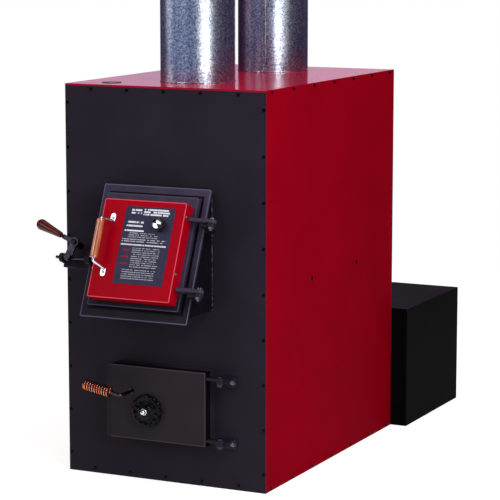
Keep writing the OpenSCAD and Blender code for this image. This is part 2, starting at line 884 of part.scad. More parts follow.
module feed_door_cover() {
    w = cover_right - cover_left;
    h = cover_high - cover_low;
    color(red_paint) on_slant() difference() {
        facing(plate_face, cover_face) translate([cover_left, cover_low]) round_rect(w, h, 3);
        facing(plate_face - past, cover_face - cover_t)
            translate([cover_left + cover_t, cover_low + cover_t]) square([w - 2 * cover_t, h - 2 * cover_t]);
        stud(knob_x, knob_z, knob_shaft_r + running, plate_face, cover_face + past);
        for (z = [tab_low, tab_high]) stud(tab_x, z, screw_hole_r, plate_face, cover_face + past);
        for (z = cover_screw_places) translate([cover_left - past, -cover_screw_out, z]) rotate([0, 90, 0])
            cylinder(h = w + 2 * past, r = screw_hole_r);
    }
}

// Screws of the door cover, and of the pull's tabs
module door_screws() {
    color(bright_steel) on_slant() {
        for (z = cover_screw_places) {
            translate([cover_right, -cover_screw_out, z]) to_right() sheet_screw();
            translate([cover_left, -cover_screw_out, z]) to_left() sheet_screw();
        }
        for (z = [tab_low, tab_high]) {
            stud(tab_x, z, screw_d / 2, cover_face - 6, cover_face + tab_t + 1);
            stud(tab_x, z, screw_d, cover_face + tab_t, cover_face + tab_t + 2);
        }
    }
}

module feed_hinge_lugs() {
    start = cover_right + gap;
    color(iron_paint) on_slant() for (z = lug_places) translate([0, 0, z - lug_t / 2])
        linear_extrude(lug_t) difference() {
            union() {
                translate([start, -hinge_out - lug_r]) square([hinge_x - start, 2 * lug_r]);
                translate([hinge_x, -hinge_out]) circle(lug_r);
            }
            translate([hinge_x, -hinge_out]) circle(pin_r + running);
        }
}

// Post with a hole along X, standing from one height round the bolt's line
module bolt_post(x, len, from, hole_r) {
    translate([x, 0, bolt_z]) rotate([90, 0, 90]) linear_extrude(len) difference() {
        union() {
            translate([-bolt_out, -post_w]) square([bolt_out - from, 2 * post_w]);
            translate([-bolt_out, 0]) circle(post_w);
        }
        translate([-bolt_out, 0]) circle(hole_r);
        translate([-from, -2 * post_w]) square([2 * post_w, 4 * post_w]);
    }
}

// Strap that the bolt slides under when the door is latched
module latch_staple() {
    strap_t = 3.5;
    room = bolt_r + 2.5;
    color(iron_paint) on_slant() translate([door_left + 1.5, 0, bolt_z]) rotate([90, 0, 90])
        linear_extrude(12) difference() {
            translate([-bolt_out - room - strap_t, -room - strap_t])
                square([bolt_out + room + strap_t - plate_face, 2 * (room + strap_t)]);
            translate([-bolt_out - room, -room]) square([bolt_out + room - plate_face + past, 2 * room]);
        }
}

module instruction_plate() {
    color([0.24, 0.24, 0.36]) on_slant() facing(cover_face, cover_face + label_t) difference() {
        translate([label_left, label_low]) square([label_right - label_left, label_high - label_low]);
        translate([knob_x, knob_z]) circle(knob_shaft_r + 1);
    }
}

module pull_bail() {
    out = -(cover_face + grip_out);
    foot = -(cover_face + bail_r + 0.1);
    feet = [[tab_x, foot, tab_low + 9], [tab_x, foot, tab_high - 9]];
    color(bright_steel) on_slant() {
        bent_rod([feet[0], [grip_x, out, grip_mid - bail_bend], [grip_x, out, grip_mid + bail_bend], feet[1]],
            bail_r, bail_bend_r);
        for (p = feet) translate(p) sphere(bail_r + 0.05);
        for (z = [tab_low, tab_high]) facing(cover_face, cover_face + tab_t) difference() {
            translate([tab_x - tab_w / 2, z - tab_len / 2]) round_rect(tab_w, tab_len, tab_w / 2 - 0.1);
            translate([tab_x, z]) circle(screw_hole_r);
        }
    }
}

module pull_grip() {
    r = grip_d / 2;
    color([0.72, 0.4, 0.16]) on_slant() translate([grip_x, -(cover_face + grip_out), grip_mid])
        rotate_extrude($fn = 64) polygon([[bail_r + running, -grip_len / 2], [r - 2, -grip_len / 2],
            [r - 0.6, -grip_len / 2 + 1.4], [r, -grip_len / 2 + 6], [r, grip_len / 2 - 6],
            [r - 0.6, grip_len / 2 - 1.4], [r - 2, grip_len / 2], [bail_r + running, grip_len / 2]]);
}

module air_knob() {
    r = knob_d / 2;
    color(black_paint) on_slant() translate([knob_x, -(cover_face + label_t + gap), knob_z])
        rotate([90, 0, 0]) rotate_extrude($fn = 64) polygon([[knob_shaft_r + 0.02, 0], [r, 0], [r, knob_h - 2],
            [r - 1.5, knob_h], [r - 3, knob_h], [r - 3, knob_h - 2], [knob_shaft_r + 0.02, knob_h - 2]]);
}

module knob_insert() {
    color(bright_steel) on_slant() stud(knob_x, knob_z, knob_d / 2 - 3.1, knob_face - 2, knob_face - 0.6);
}

// Shaft of the knob with the shutter disc that covers the air ports
module air_shutter() {
    color(bright_steel) on_slant() {
        stud(knob_x, knob_z, knob_shaft_r, door_gap + 2, knob_face - 2);
        facing(plate_face + 0.4, plate_face + 2.4) translate([knob_x, knob_z]) difference() {
            circle(port_ring + port_r + 4);
            for (a = [45 : 90 : 315]) rotate(a) translate([port_ring, 0]) circle(port_r);
        }
    }
}

// Feed door latch

module latch_bracket() {
    left = ear_x - 2;
    low = bolt_z - post_w - 8;
    color(iron_paint) on_slant() {
        facing(-6, 0) polygon([[-frame_w / 2, low], [left, low], [left, bolt_z + post_w + 2],
            [latch_x - 14, latch_z + 14], [-frame_w / 2, latch_z + 14]]);
        bolt_post(ear_x, ear_len, 0, bolt_r + running);
    }
}

module latch_bolt_guide() {
    color(iron_paint) on_slant() bolt_post(guide_x, guide_len, 0, bolt_r + running);
}

// Shoulder stud that the lever turns on, with its washer and dome nut
module latch_pivot() {
    lever_face = lever_back + lever_t;
    color(bright_steel) on_slant() {
        stud(latch_x, latch_z, 9, 0, lever_back - gap);
        stud(latch_x, latch_z, pivot_r, 0, lever_face + 4);
        stud(latch_x, latch_z, 9.5, lever_face + gap, lever_face + gap + 1.5);
        translate([latch_x, -lever_face - gap - 1.5, latch_z]) rotate([90, 0, 0])
            rotate_extrude() polygon([[0, 0], [7.5, 0], [7.5, 3], [6, 6], [3, 7.5], [0, 8]]);
    }
}

module latch_lever() {
    reach = 42;
    color(bright_steel) on_slant() translate([latch_x, 0, latch_z]) {
        facing(lever_back, lever_back + lever_t) difference() {
            union() {
                circle(13);
                rotate(-90 - latch_half) band(latch_arm, 10.5);
                rotate(lever_angle) band(reach - 6, 6.5);
            }
            circle(pivot_r + running);
            rotate(-90 - latch_half) translate([latch_arm - 2.4, 0]) band(4.8, slot_r);
        }
        translate([0, -lever_back - lever_t / 2, 0]) rotate([0, -lever_angle, 0])
            translate([reach - 8, 0, 0]) rotate([0, 90, 0])
                cylinder(h = grip_start + lever_grip_len / 2 - reach + 8, r = lever_rod_r);
    }
}

module lever_grip() {
    big = lever_grip_d / 2;
    small = lever_grip_d * 0.27;
    end = lever_grip_len;
    color([0.5, 0.05, 0.04]) on_slant() translate([latch_x, -lever_back - lever_t / 2, latch_z])
        rotate([0, -lever_angle, 0]) translate([grip_start, 0, 0]) rotate([0, 90, 0])
            rotate_extrude($fn = 64) polygon(concat(
                [[0, lever_grip_len / 2 + 0.5], [lever_rod_r + running, lever_grip_len / 2 + 0.5],
                    [lever_rod_r + running, 0], [small - 1, 0], [small, 1.5],
                    [small + (big - small) * 0.45, end * 0.4], [big * 0.93, end * 0.68]],
                [for (a = [-15 : 15 : 75]) [big * cos(a), end - big + big * sin(a)]], [[0, end]]));
}

// Sliding bolt with the stud that the lever's slot drives
module latch_bolt() {
    color(bright_steel) on_slant() {
        translate([bolt_tip - bolt_len, -bolt_out, bolt_z]) rotate([0, 90, 0])
            cylinder(h = bolt_len, r = bolt_r);
        stud(stud_x, bolt_z, stud_r, bolt_out, lever_back + lever_t + 6);
    }
}

module latch_bolt_nut() {
    face = lever_back + lever_t + 0.6;
    color(bright_steel) on_slant() facing(face, face + 5) translate([stud_x, bolt_z]) difference() {
        circle(9.5);
        circle(stud_r + 0.02);
    }
}

// Ash door frame, door and hinges

module ash_door_frame() {
    color(iron_paint) {
        tube_y(ash_x, ash_z, ash_w, ash_h, ash_wall, ash_back_y + gap, fire_front);
        // Knife edge that presses into the gasket, joined to the frame by a web
        tube_y(ash_x, ash_z + knife_inset, ash_w - 2 * knife_inset, ash_h - 2 * knife_inset, knife_t,
            knife_y, ash_back_y + 14);
        tube_y(ash_x, ash_z + ash_wall / 2, ash_w - ash_wall, ash_h - ash_wall,
            knife_inset - ash_wall / 2 + knife_t / 2, ash_back_y + 10, ash_back_y + 14);
        // Catch that the cam turns behind
        translate([ash_left + knife_inset + knife_t / 2, knife_y, rod_z - 15])
            cube([knife_t / 2 + 20, catch_t, 50]);
    }
}

module ash_lug(z, from_x, from_y, to_y) {
    translate([0, 0, z]) linear_extrude(ash_lug_t) difference() {
        union() {
            translate([from_x, from_y]) square([ash_hinge_x - from_x, to_y - from_y]);
            translate([ash_hinge_x, ash_hinge_y]) circle(lug_r);
        }
        translate([ash_hinge_x, ash_hinge_y]) circle(pin_r + running);
    }
}

ash_foot_t = 5;
ash_foot_l = 32;
ash_bolt_r = 4;
ash_bolt_x = ash_hinge_x + 20;
module ash_hinge_brackets() {
    foot_h = 30;
    color(iron_paint) for (z = ash_lugs) {
        translate([0, 0, z - ash_lug_t - gap]) linear_extrude(ash_lug_t) difference() {
            union() {
                translate([ash_hinge_x - lug_r, ash_hinge_y]) square([2 * lug_r, -half_d - ash_hinge_y]);
                translate([ash_hinge_x, ash_hinge_y]) circle(lug_r);
            }
            translate([ash_hinge_x, ash_hinge_y]) circle(pin_r + running);
        }
        translate([0, -half_d, 0]) facing(0, ash_foot_t) difference() {
            translate([ash_hinge_x - lug_r, z - ash_lug_t - foot_h / 2]) round_rect(lug_r + ash_foot_l, foot_h, 4);
            translate([ash_bolt_x, z - ash_lug_t]) circle(ash_bolt_r + 0.1);
        }
    }
}

module ash_hinge_bolts() {
    color(bright_steel) for (z = ash_lugs) translate([0, -half_d, 0]) {
        stud(ash_bolt_x, z - ash_lug_t, ash_bolt_r, -14, ash_foot_t + 1);
        stud(ash_bolt_x, z - ash_lug_t, 8, ash_foot_t, ash_foot_t + 1.2);
        translate([ash_bolt_x, -ash_foot_t, z - ash_lug_t]) rotate([90, 0, 0])
            cylinder(h = 6, r = 6.5, $fn = 6);
        translate([ash_bolt_x, sheet + 6.2, z - ash_lug_t]) rotate([90, 0, 0])
            cylinder(h = 6, r = 7, $fn = 6);
    }
}

module ash_hinge_pins() {
    color(bright_steel) for (z = ash_lugs) translate([ash_hinge_x, ash_hinge_y, z]) {
        translate([0, 0, -ash_lug_t - 9]) cylinder(h = 2 * ash_lug_t + 9 + gap, r = pin_r);
        translate([0, 0, ash_lug_t + gap]) cylinder(h = 4, r = pin_r + 3);
        translate([0, 0, -ash_lug_t - gap - 6]) cylinder(h = 6, r = pin_r + 4, $fn = 6);
    }
}

module ash_door() {
    lip = 13;
    color(black_paint) {
        translate([0, ash_plate_back, 0]) facing(0, ash_face) difference() {
            translate([ash_left, ash_z]) round_rect(ash_w, ash_h, 2);
            translate([rod_x, rod_z]) circle(rod_r + running);
            translate([draft_x, draft_z]) {
                circle(draft_bolt_r + running);
                for (a = [0 : 60 : 300]) rotate(a) translate([draft_ring, 0]) circle(draft_hole_r);
            }
        }
        tube_y(ash_x, ash_z, ash_w, ash_h, ash_wall, ash_plate_back - ash_face / 2, ash_back_y);
        translate([ash_left - lip, ash_front_y + 4, ash_z]) cube([lip + 2, ash_face - 4, ash_h]);
    }
}

module ash_door_gasket() {
    inset = ash_wall + 0.2;
    color([0.75, 0.74, 0.7]) tube_y(ash_x, ash_z + inset, ash_w - 2 * inset, ash_h - 2 * inset, ash_gasket_w,
        ash_plate_back, ash_plate_back + ash_gasket_d);
}

module ash_hinge_lugs() {
    color(iron_paint) for (z = ash_lugs) ash_lug(z, ash_right, ash_hinge_y - lug_r, ash_hinge_y + lug_r);
}

// Rod through the ash door, with its cam inside and its handle outside
module ash_latch_rod() {
    bend = [rod_x, handle_y, rod_z];
    tip = bend + handle_len * [-cos(handle_tilt), 0, sin(handle_tilt)];
    cam_back = cam_front + cam_t;
    color(bright_steel) {
        bent_rod([[rod_x, cam_front + cam_t / 2, rod_z], bend, tip], rod_r, 10);
        translate([0, cam_back, 0]) facing(0, cam_t) {
            translate([rod_x - cam_w / 2, rod_z]) square([cam_w, cam_len]);
            translate([rod_x, rod_z]) circle(cam_w / 2);
        }
        stud(rod_x, rod_z, rod_r + 3, -ash_front_y + gap, -ash_front_y + gap + 4);
    }
}

// Coil of wire round the handle: one tube whose ends turn in to the rod
coil_sides = 6;
coil_rings = 8;
coil_mid_r = (coil_d - wire_d) / 2;
coil_pitch = (coil_len - wire_d) / coil_turns;
coil_end_r = rod_r + 0.1;
function coil_point(turn) =
    [coil_mid_r * cos(360 * turn), coil_mid_r * sin(360 * turn), wire_d / 2 + coil_pitch * turn];
function coil_inward(r, turn) =
    [r * cos(360 * turn), r * sin(360 * turn), wire_d / 2 + coil_pitch * turn];
coil_path = concat(
    [coil_inward(coil_end_r, 0), coil_inward(coil_end_r + wire_d, 0),
        coil_inward(coil_mid_r - wire_d / 2, 0)],
    [for (i = [1 : coil_turns * coil_rings - 1]) coil_point(i / coil_rings)],
    [coil_inward(coil_mid_r - wire_d / 2, coil_turns), coil_inward(coil_end_r + wire_d, coil_turns),
        coil_inward(coil_end_r, coil_turns)]);

function path_direction(path, i) =
    let (last = len(path) - 1,
        ahead = i == last ? path[i] - path[i - 1] : path[i + 1] - path[i],
        behind = i == 0 ? ahead : path[i] - path[i - 1])
    unit(unit(ahead) + unit(behind));

// Rings of a tube swept along a path, each square to the path, its first side turned towards +Z
function tube_rings(path, r, sides) = [for (i = [0 : len(path) - 1])
    let (t = path_direction(path, i), u = unit([0, 0, 1] - t[2] * t), v = cross(t, u))
        for (k = [0 : sides - 1]) path[i] + r * (cos(360 * k / sides) * u + sin(360 * k / sides) * v)];

function tube_faces(n, sides) = concat(
    [for (k = [1 : sides - 2]) [0, k, k + 1]],
    [for (i = [0 : n - 2]) for (k = [0 : sides - 1]) let (a = i * sides + k, b = i * sides + (k + 1) % sides)
        for (f = [[a, a + sides, b + sides], [a, b + sides, b]]) f],
    [for (k = [1 : sides - 2]) let (s = (n - 1) * sides) [s, s + k + 1, s + k]]);

// Least distance between points of the coil that are a turn or more apart, less the wire
coil_gap = min([for (i = [0 : len(coil_path) - 1]) for (j = [i + coil_rings - 1 : 1 : len(coil_path) - 1])
    norm(coil_path[i] - coil_path[j])]) - wire_d;
echo(coil_gap = coil_gap);

module coil_grip() {
    start = [rod_x, handle_y, rod_z] + coil_start * [-cos(handle_tilt), 0, sin(handle_tilt)];
    color([0.72, 0.32, 0.14]) translate(start) rotate([0, handle_tilt - 90, 0])
        polyhedron(points = tube_rings(coil_path, wire_d / 2, coil_sides),
            faces = tube_faces(len(coil_path), coil_sides));
}

// Draft control of the ash door

// Acorn-headed bolt, with the stop nut on its inner end
module draft_bolt() {
    head = ash_front_y - 0.5 - wheel_t;
    nut_y = ash_plate_back + draft_travel + 0.5;
    color(bright_steel) {
        translate([draft_x, nut_y + draft_nut_t, draft_z]) rotate([90, 0, 0])
            cylinder(h = nut_y + draft_nut_t - head + 1, r = draft_bolt_r);
        translate([draft_x, head, draft_z]) rotate([90, 0, 0]) rotate_extrude()
            polygon([[0, 0], [9, 0], [9, 2], [7.5, 2], [7.5, 6], [6.5, 9], [4, 11.5], [0, 12.5]]);
        translate([draft_x, nut_y + draft_nut_t, draft_z]) rotate([90, 0, 0])
            cylinder(h = draft_nut_t, r = 9, $fn = 6);
    }
}

// Cast cap with a lobed rim, ring grooves and a hub
module draft_wheel() {
    r = wheel_d / 2;
    lobe_ring = r - lobe_r;
    bore = draft_bolt_r + running;
    color(black_paint) translate([draft_x, ash_front_y - 0.5, draft_z]) rotate([90, 0, 0]) difference() {
        union() {
            cylinder(h = 6, r = r - 4);
            translate([0, 0, 5]) linear_extrude(9) {
                circle(lobe_ring);
                for (i = [0 : lobes - 1]) rotate(360 * i / lobes) translate([lobe_ring, 0]) circle(lobe_r);
            }
            rotate_extrude() polygon([[bore, 6], [lobe_ring + 3, 6], [lobe_ring + 3, 15],
                [lobe_ring - 2, 17.5], [lobe_ring - 6, 17.5], [lobe_ring - 8, 15.5], [20, 18], [17, 20],
                [15, wheel_t - 0.4], [bore, wheel_t - 0.4]]);
        }
        translate([0, 0, -past]) cylinder(h = wheel_t + 2 * past, r = bore);
    }
}

// Blower
function scroll_points(off) = [for (a = [0 : 15 : scroll_turn])
    [fan_y + (scroll_r(a) + off) * sin(a), fan_z + (scroll_r(a) + off) * cos(a)]];

module scroll_outline(off, out_y) {
    polygon(concat(scroll_points(off), [[out_y, fan_z + (scroll_min + off) * cos(scroll_turn)]],
        [[out_y, fan_z + scroll_max + off]]));
}

module across(from, to) {
    translate([from, 0, 0]) rotate([90, 0, 90]) linear_extrude(to - from) children();
}

module blower_housing() {
    w = housing_w / 2;
    flange = 16;
    color(galvanised) {
        difference() {
            across(-w, w) scroll_outline(0, box_y);
            across(-w + scroll_wall, w - scroll_wall) scroll_outline(-scroll_wall, box_y - past);
            translate([-w - past, fan_y, fan_z]) rotate([0, 90, 0])
                cylinder(h = 2 * w + 2 * past, r = inlet_r);
        }
        // Flange that bolts to the rear panel round its air opening
        translate([0, box_y + sheet, 0]) facing(0, sheet) difference() {
            translate([-w - flange, outlet_low - flange])
                square([2 * (w + flange), outlet_high - outlet_low + flange + 8]);
            translate([-w + scroll_wall / 2, outlet_low - scroll_wall / 2])
                square([2 * w - scroll_wall, outlet_high - outlet_low + scroll_wall]);
        }
    }
}

// Squirrel-cage wheel on its shaft
module blower_wheel() {
    w = fan_w / 2;
    blade_in = fan_r - 20;
    color(galvanised) translate([0, fan_y, fan_z]) {
        across(-w, w) for (i = [0 : blades - 1]) rotate(360 * i / blades)
            polygon([[blade_in, 0], [blade_in + 9, 1.5], [fan_r - 2, 8], [fan_r - 2.6, 9.4],
                [blade_in + 8, 3], [blade_in, 1.5]]);
        for (x = [-w, w - 4]) across(x, x + 4) difference() {
            circle(fan_r);
            circle(fan_r - 6);
        }
        across(-1, 1) circle(fan_r - 1);
        across(hub_from, hub_to) circle(hub_r);
        across(hub_from - 4, motor_x + motor_shaft_in) circle(motor_shaft_r);
    }
}

module blower_motor() {
    w = housing_w / 2;
    arm_t = 4;
    shoulder = 12;
    color(black_paint) translate([0, fan_y, fan_z]) difference() {
        union() {
            translate([motor_x, 0, 0]) rotate([0, 90, 0]) rotate_extrude() polygon([[0, 0],
                [hub_r + 4, 0], [motor_r - shoulder, 6], [motor_r, 6 + shoulder],
                [motor_r, motor_len - shoulder], [motor_r - shoulder, motor_len - 2], [0, motor_len]]);
            // Arms from the motor's band to the housing's side
            for (a = [30, 150, 270]) across(w, w + arm_t) rotate(a) translate([0, -11])
                square([inlet_r + 16, 22]);
        }
        translate([motor_x - past, 0, 0]) rotate([0, 90, 0])
            cylinder(h = motor_shaft_in + 2 + past, r = motor_shaft_r + running);
    }
}

// Folded box, open to the cabinet at the front and to the return air at the rear
filter_open_w = filter_w - 44;
filter_open_h = filter_h - 44;
module blower_box() {
    w = blower_w / 2;
    color(black_paint) {
        difference() {
            translate([-w, box_y, 0]) cube([blower_w, blower_d, blower_h - sheet]);
            translate([-w + sheet, box_y - past, sheet])
                cube([blower_w - 2 * sheet, blower_d - sheet + past, blower_h]);
            translate([-filter_open_w / 2, box_back - sheet - past, sheet + 22])
                cube([filter_open_w, sheet + 2 * past, filter_open_h]);
            translate([-w - past, box_y + 70, gland_z]) rotate([0, 90, 0])
                cylinder(h = 4 * past + sheet, r = gland_r + 0.1);
        }
        // Flanges against the rear panel, cut away round its screws
        for (side = [0, 1]) mirror([side, 0, 0]) difference() {
            translate([half_w - flange_w, box_y, sheet])
                cube([w - half_w + flange_w - sheet / 2, sheet, blower_h - 2 * sheet]);
            for (p = end_screws) translate([p[0], box_y - past, p[1]]) rotate([-90, 0, 0])
                cylinder(h = sheet + 2 * past, r = 1.05 * screw_d + 1);
        }
        // Channels that hold the filter
        for (side = [0, 1]) mirror([side, 0, 0]) {
            translate([filter_w / 2 + 0.5, filter_front - channel_lip - channel_t, sheet / 2])
                cube([channel_t, filter_t + channel_lip + channel_t + filter_slack + sheet / 2, filter_h]);
            translate([filter_w / 2 - 14, filter_front - channel_lip - channel_t, sheet / 2])
                cube([16, channel_t, filter_h]);
        }
    }
}

module blower_box_lid() {
    w = blower_w / 2;
    color(black_paint) {
        translate([-w, box_y, blower_h - sheet]) cube([blower_w, blower_d, sheet]);
        for (x = [-w + sheet + gap, w - 2 * sheet - gap])
            translate([x, box_y + 4, blower_h - flange_w])
                cube([sheet, blower_d - sheet - 8, flange_w - sheet / 2]);
        translate([-w + 3 * sheet, box_back - 2 * sheet - gap, blower_h - flange_w])
            cube([blower_w - 6 * sheet, sheet, flange_w - sheet / 2]);
    }
}

module air_filter() {
    border = 14;
    color([0.78, 0.8, 0.84]) translate([-filter_w / 2, filter_front, sheet]) difference() {
        cube([filter_w, filter_t, filter_h]);
        for (y = [-past, filter_t - 4]) translate([border, y, border])
            cube([filter_w - 2 * border, 4 + past, filter_h - 2 * border]);
    }
}

gland_r = 8;
gland_z = 60;
module cable_gland() {
    wall = -blower_w / 2;
    bore = 4.5;
    color(black_paint) translate([wall, box_y + 70, gland_z]) rotate([0, -90, 0]) difference() {
        union() {
            translate([0, 0, -14]) cylinder(h = 16, r = gland_r);
            cylinder(h = 5, r = 12, $fn = 6);
            rotate_extrude() polygon([[0, 4], [10, 4], [10, 14], [6.5, 20], [0, 20]]);
            translate([0, 0, -sheet - 4]) cylinder(h = 4, r = 12, $fn = 6);
        }
        translate([0, 0, -14 - past]) cylinder(h = 34 + 2 * past, r = bore);
    }
}

base_pan();
front_panel();
left_side_panel();
right_side_panel();
rear_panel();
top_panel();
cabinet_screws();
top_hole_plug();
heat_shields();
duct_collars();
front_duct();
rear_duct();
firebox_body();
firebricks();
fire_grate();
ash_pan();
baffle_plate();
flue_collar();
feed_chute();
feed_door_frame();
feed_hinge_brackets();
feed_hinge_pins();
feed_door_plate();
feed_door_gasket();
feed_door_shield();
feed_door_cover();
door_screws();
feed_hinge_lugs();
latch_staple();
instruction_plate();
pull_bail();
pull_grip();
air_knob();
knob_insert();
air_shutter();
latch_bracket();
latch_bolt_guide();
latch_pivot();
latch_lever();
lever_grip();
latch_bolt();
latch_bolt_nut();
ash_door_frame();
ash_hinge_brackets();
ash_hinge_bolts();
ash_hinge_pins();
ash_door();
ash_door_gasket();
ash_hinge_lugs();
ash_latch_rod();
coil_grip();
draft_bolt();
draft_wheel();
blower_box();
blower_box_lid();
blower_housing();
blower_wheel();
blower_motor();
air_filter();
cable_gland();
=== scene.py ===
"""Wood-burning warm air furnace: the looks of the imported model.

Shapes are worked out in millimetres, and finishes, edge widths and lights in metres. The feed door
hangs on a leaning frame, so its pieces are worked out in the frame's own lengths: x across, out from
its face, and up along it.
"""
import math

import bmesh
import bpy
import numpy as np
from mathutils import Matrix


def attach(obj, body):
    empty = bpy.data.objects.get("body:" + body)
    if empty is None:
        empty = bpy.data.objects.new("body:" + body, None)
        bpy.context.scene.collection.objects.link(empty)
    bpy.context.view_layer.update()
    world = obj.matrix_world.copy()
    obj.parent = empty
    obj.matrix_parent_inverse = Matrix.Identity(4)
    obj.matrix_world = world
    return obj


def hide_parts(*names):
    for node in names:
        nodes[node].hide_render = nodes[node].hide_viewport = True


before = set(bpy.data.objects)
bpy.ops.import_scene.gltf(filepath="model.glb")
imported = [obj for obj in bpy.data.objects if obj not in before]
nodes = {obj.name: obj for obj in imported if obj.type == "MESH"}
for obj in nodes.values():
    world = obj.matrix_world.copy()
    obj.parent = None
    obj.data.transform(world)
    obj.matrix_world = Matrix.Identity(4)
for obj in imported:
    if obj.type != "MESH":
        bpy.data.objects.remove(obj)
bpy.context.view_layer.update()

# Places in millimetres, as the model has them

lean_sin, lean_cos = 0.395546, 0.918446
slant_up = (0.0, lean_sin, lean_cos)
slant_out = (0.0, -lean_cos, lean_sin)
slant_foot = (-8.0, -605.0, 471.0)
plate_face, cover_face = 18.0, 58.0
ash_door_front = -498.0
duct_radius = 102.25
duct_low, duct_high, cabinet_high = 1038.0, 1375.0, 1070.0
duct_x, duct_front_y, duct_rear_y = -12.0, -216.0, 266.0


# Shapes

def on_slant(points):
    """Points given as x across, distance out and height along the leaning frame, put in the room."""
    x, out, up = points[..., 0], points[..., 1], points[..., 2]
    foot_x, foot_y, foot_z = slant_foot
    return np.stack([foot_x + x, foot_y - out * lean_cos + up * lean_sin,
                     foot_z + out * lean_sin + up * lean_cos], axis=-1)


def unit(vectors):
    """Each vector divided by its length."""
    return vectors / np.linalg.norm(vectors, axis=-1, keepdims=True)


def turned(profile, centre, axis, side, sides=64):
    """Surface of a profile turned about an axis. A row of the profile is a radius and a height: the
    point at angle a is centre + radius (cos a side + sin a across) + height axis."""
    axis, side = unit(np.array(axis, float)), unit(np.array(side, float))
    across = np.cross(axis, side)
    profile = np.array(profile, float)
    a = np.linspace(0, 2 * np.pi, sides, endpoint=False)[None, :, None]
    radius, height = profile[:, 0][:, None, None], profile[:, 1][:, None, None]
    return np.array(centre, float) + radius * (np.cos(a) * side + np.sin(a) * across) + height * axis


def drawn_in(path, rings):
    """Rings along a path, with both ends drawn in to the path's first and last points."""
    first, last = path[:1, None, :] + 0 * rings[:1], path[-1:, None, :] + 0 * rings[-1:]
    return np.concatenate([first, rings, last])


def tube(path, radius, flat_side):
    """Surface of a rod along a path that lies in one plane. The ring round each point of the path is
    radius (cos a n + sin a t x n), where n is the plane's normal and t the path's direction."""
    t = unit(np.gradient(path, axis=0))
    n = np.broadcast_to(unit(np.array(flat_side, float)), t.shape)
    a = np.linspace(0, 2 * np.pi, 24, endpoint=False)[None, :, None]
    ring = np.cos(a) * n[:, None, :] + np.sin(a) * np.cross(t, n)[:, None, :]
    return drawn_in(path, path[:, None, :] + radius * ring)


def rounded(corners, bend, steps=5):
    """Path or profile with each inner corner rounded by an arc. Its radius is the bend, one for all
    or one for each, or less where the legs are short. The arc touches both legs at radius times
    tan(half the turn) from the corner, and is the cosine and sine of equal steps."""
    corners = np.array(corners, float)
    bends = np.broadcast_to(bend, len(corners) - 2)
    out = [corners[0]]
    for before, corner, after, wanted in zip(corners[:-2], corners[1:-1], corners[2:], bends):
        arrive, leave = unit(corner - before), unit(after - corner)
        turn = math.acos(float(np.clip(arrive @ leave, -1, 1)))
        short = min(np.linalg.norm(corner - before), np.linalg.norm(after - corner))
        r = min(wanted, 0.45 * short / max(math.tan(turn / 2), 1e-6))
        inward = unit(leave - arrive * (arrive @ leave) + 1e-12)
        a = np.linspace(0, turn, steps)[:, None]
        start = corner - arrive * r * math.tan(turn / 2)
        out.extend(start + r * (np.sin(a) * arrive + (1 - np.cos(a)) * inward))
    out.append(corners[-1])
    return np.array(out)


def slab(outline, low, high):
    """Flat plate on the leaning frame: an outline of x and up, carried from its distance out low to
    high, with both faces drawn in to the outline's middle."""
    outline = np.array(outline, float)
    middle = outline.mean(axis=0)
    size = np.array([0.0, 1.0, 1.0, 0.0])[:, None, None]
    out = np.array([low, low, high, high])[:, None]
    flat = middle + size * (outline - middle)
    grid = np.stack([flat[..., 0], np.broadcast_to(out, flat.shape[:2]), flat[..., 1]], axis=-1)
    return on_slant(grid)


def round_outline(x, up, width, height, corner, steps=8):
    """Rectangle with round corners about the point x, up: in each quarter the corner's centre plus
    corner times the cosine and sine of the angle."""
    a = np.linspace(0, 2 * np.pi, 4 * steps, endpoint=False) + np.pi / (4 * steps)
    sx, su = np.sign(np.cos(a)), np.sign(np.sin(a))
    return np.stack([x + sx * (width / 2 - corner) + corner * np.cos(a),
                     up + su * (height / 2 - corner) + corner * np.sin(a)], axis=-1)


def make(name, parts, finish, body, replaces=(), edge=32, per_turn=1.0):
    """Object whose mesh joins grids of points, in millimetres, into four-sided faces. A grid closes
    round its columns, and round its rows too where its flag is set. The map runs round the columns
    from 0 to per_turn, and along the rows by their true length in metres."""
    points, faces, maps, start = [], [], [], 0
    for grid, ring in parts:
        rows, columns = grid.shape[:2]
        points.append(grid.reshape(-1, 3) / 1000)
        r = np.arange(rows if ring else rows - 1)[:, None]
        c = np.arange(columns)[None, :]
        corners = [(r, c), (r, c + 1), (r + 1, c + 1), (r + 1, c)]
        faces.append(np.stack([start + (i % rows) * columns + j % columns + 0 * r for i, j in corners],
                              axis=-1).reshape(-1, 4))
        closed = np.concatenate([grid, grid[:1]])
        run = np.linalg.norm(np.diff(closed, axis=0), axis=-1).mean(axis=1) / 1000
        run = np.concatenate([[0.0], np.cumsum(run)])
        maps.append(np.stack([np.stack([per_turn * j / columns + 0 * r, run[i] + 0 * c], axis=-1)
                              for i, j in corners], axis=-2).reshape(-1, 2))
        start += rows * columns
    points, faces, maps = np.concatenate(points), np.concatenate(faces), np.concatenate(maps)
    mesh = bpy.data.meshes.new(name)
    mesh.from_pydata(points, [], faces)
    mesh.uv_layers.new(name="UVMap").data.foreach_set("uv", maps.ravel())
    work = bmesh.new()
    work.from_mesh(mesh)
    bmesh.ops.remove_doubles(work, verts=work.verts, dist=1e-6)
    bmesh.ops.recalc_face_normals(work, faces=work.faces)
    work.to_mesh(mesh)
    work.free()
    mesh.polygons.foreach_set("use_smooth", np.ones(len(mesh.polygons), bool))
    mesh.set_sharp_from_angle(angle=math.radians(edge))
    mesh.materials.append(finish)
    piece = bpy.data.objects.new(name, mesh)
    bpy.context.scene.collection.objects.link(piece)
    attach(piece, body)
    if replaces:
        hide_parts(*replaces)
    return piece


# Finishes

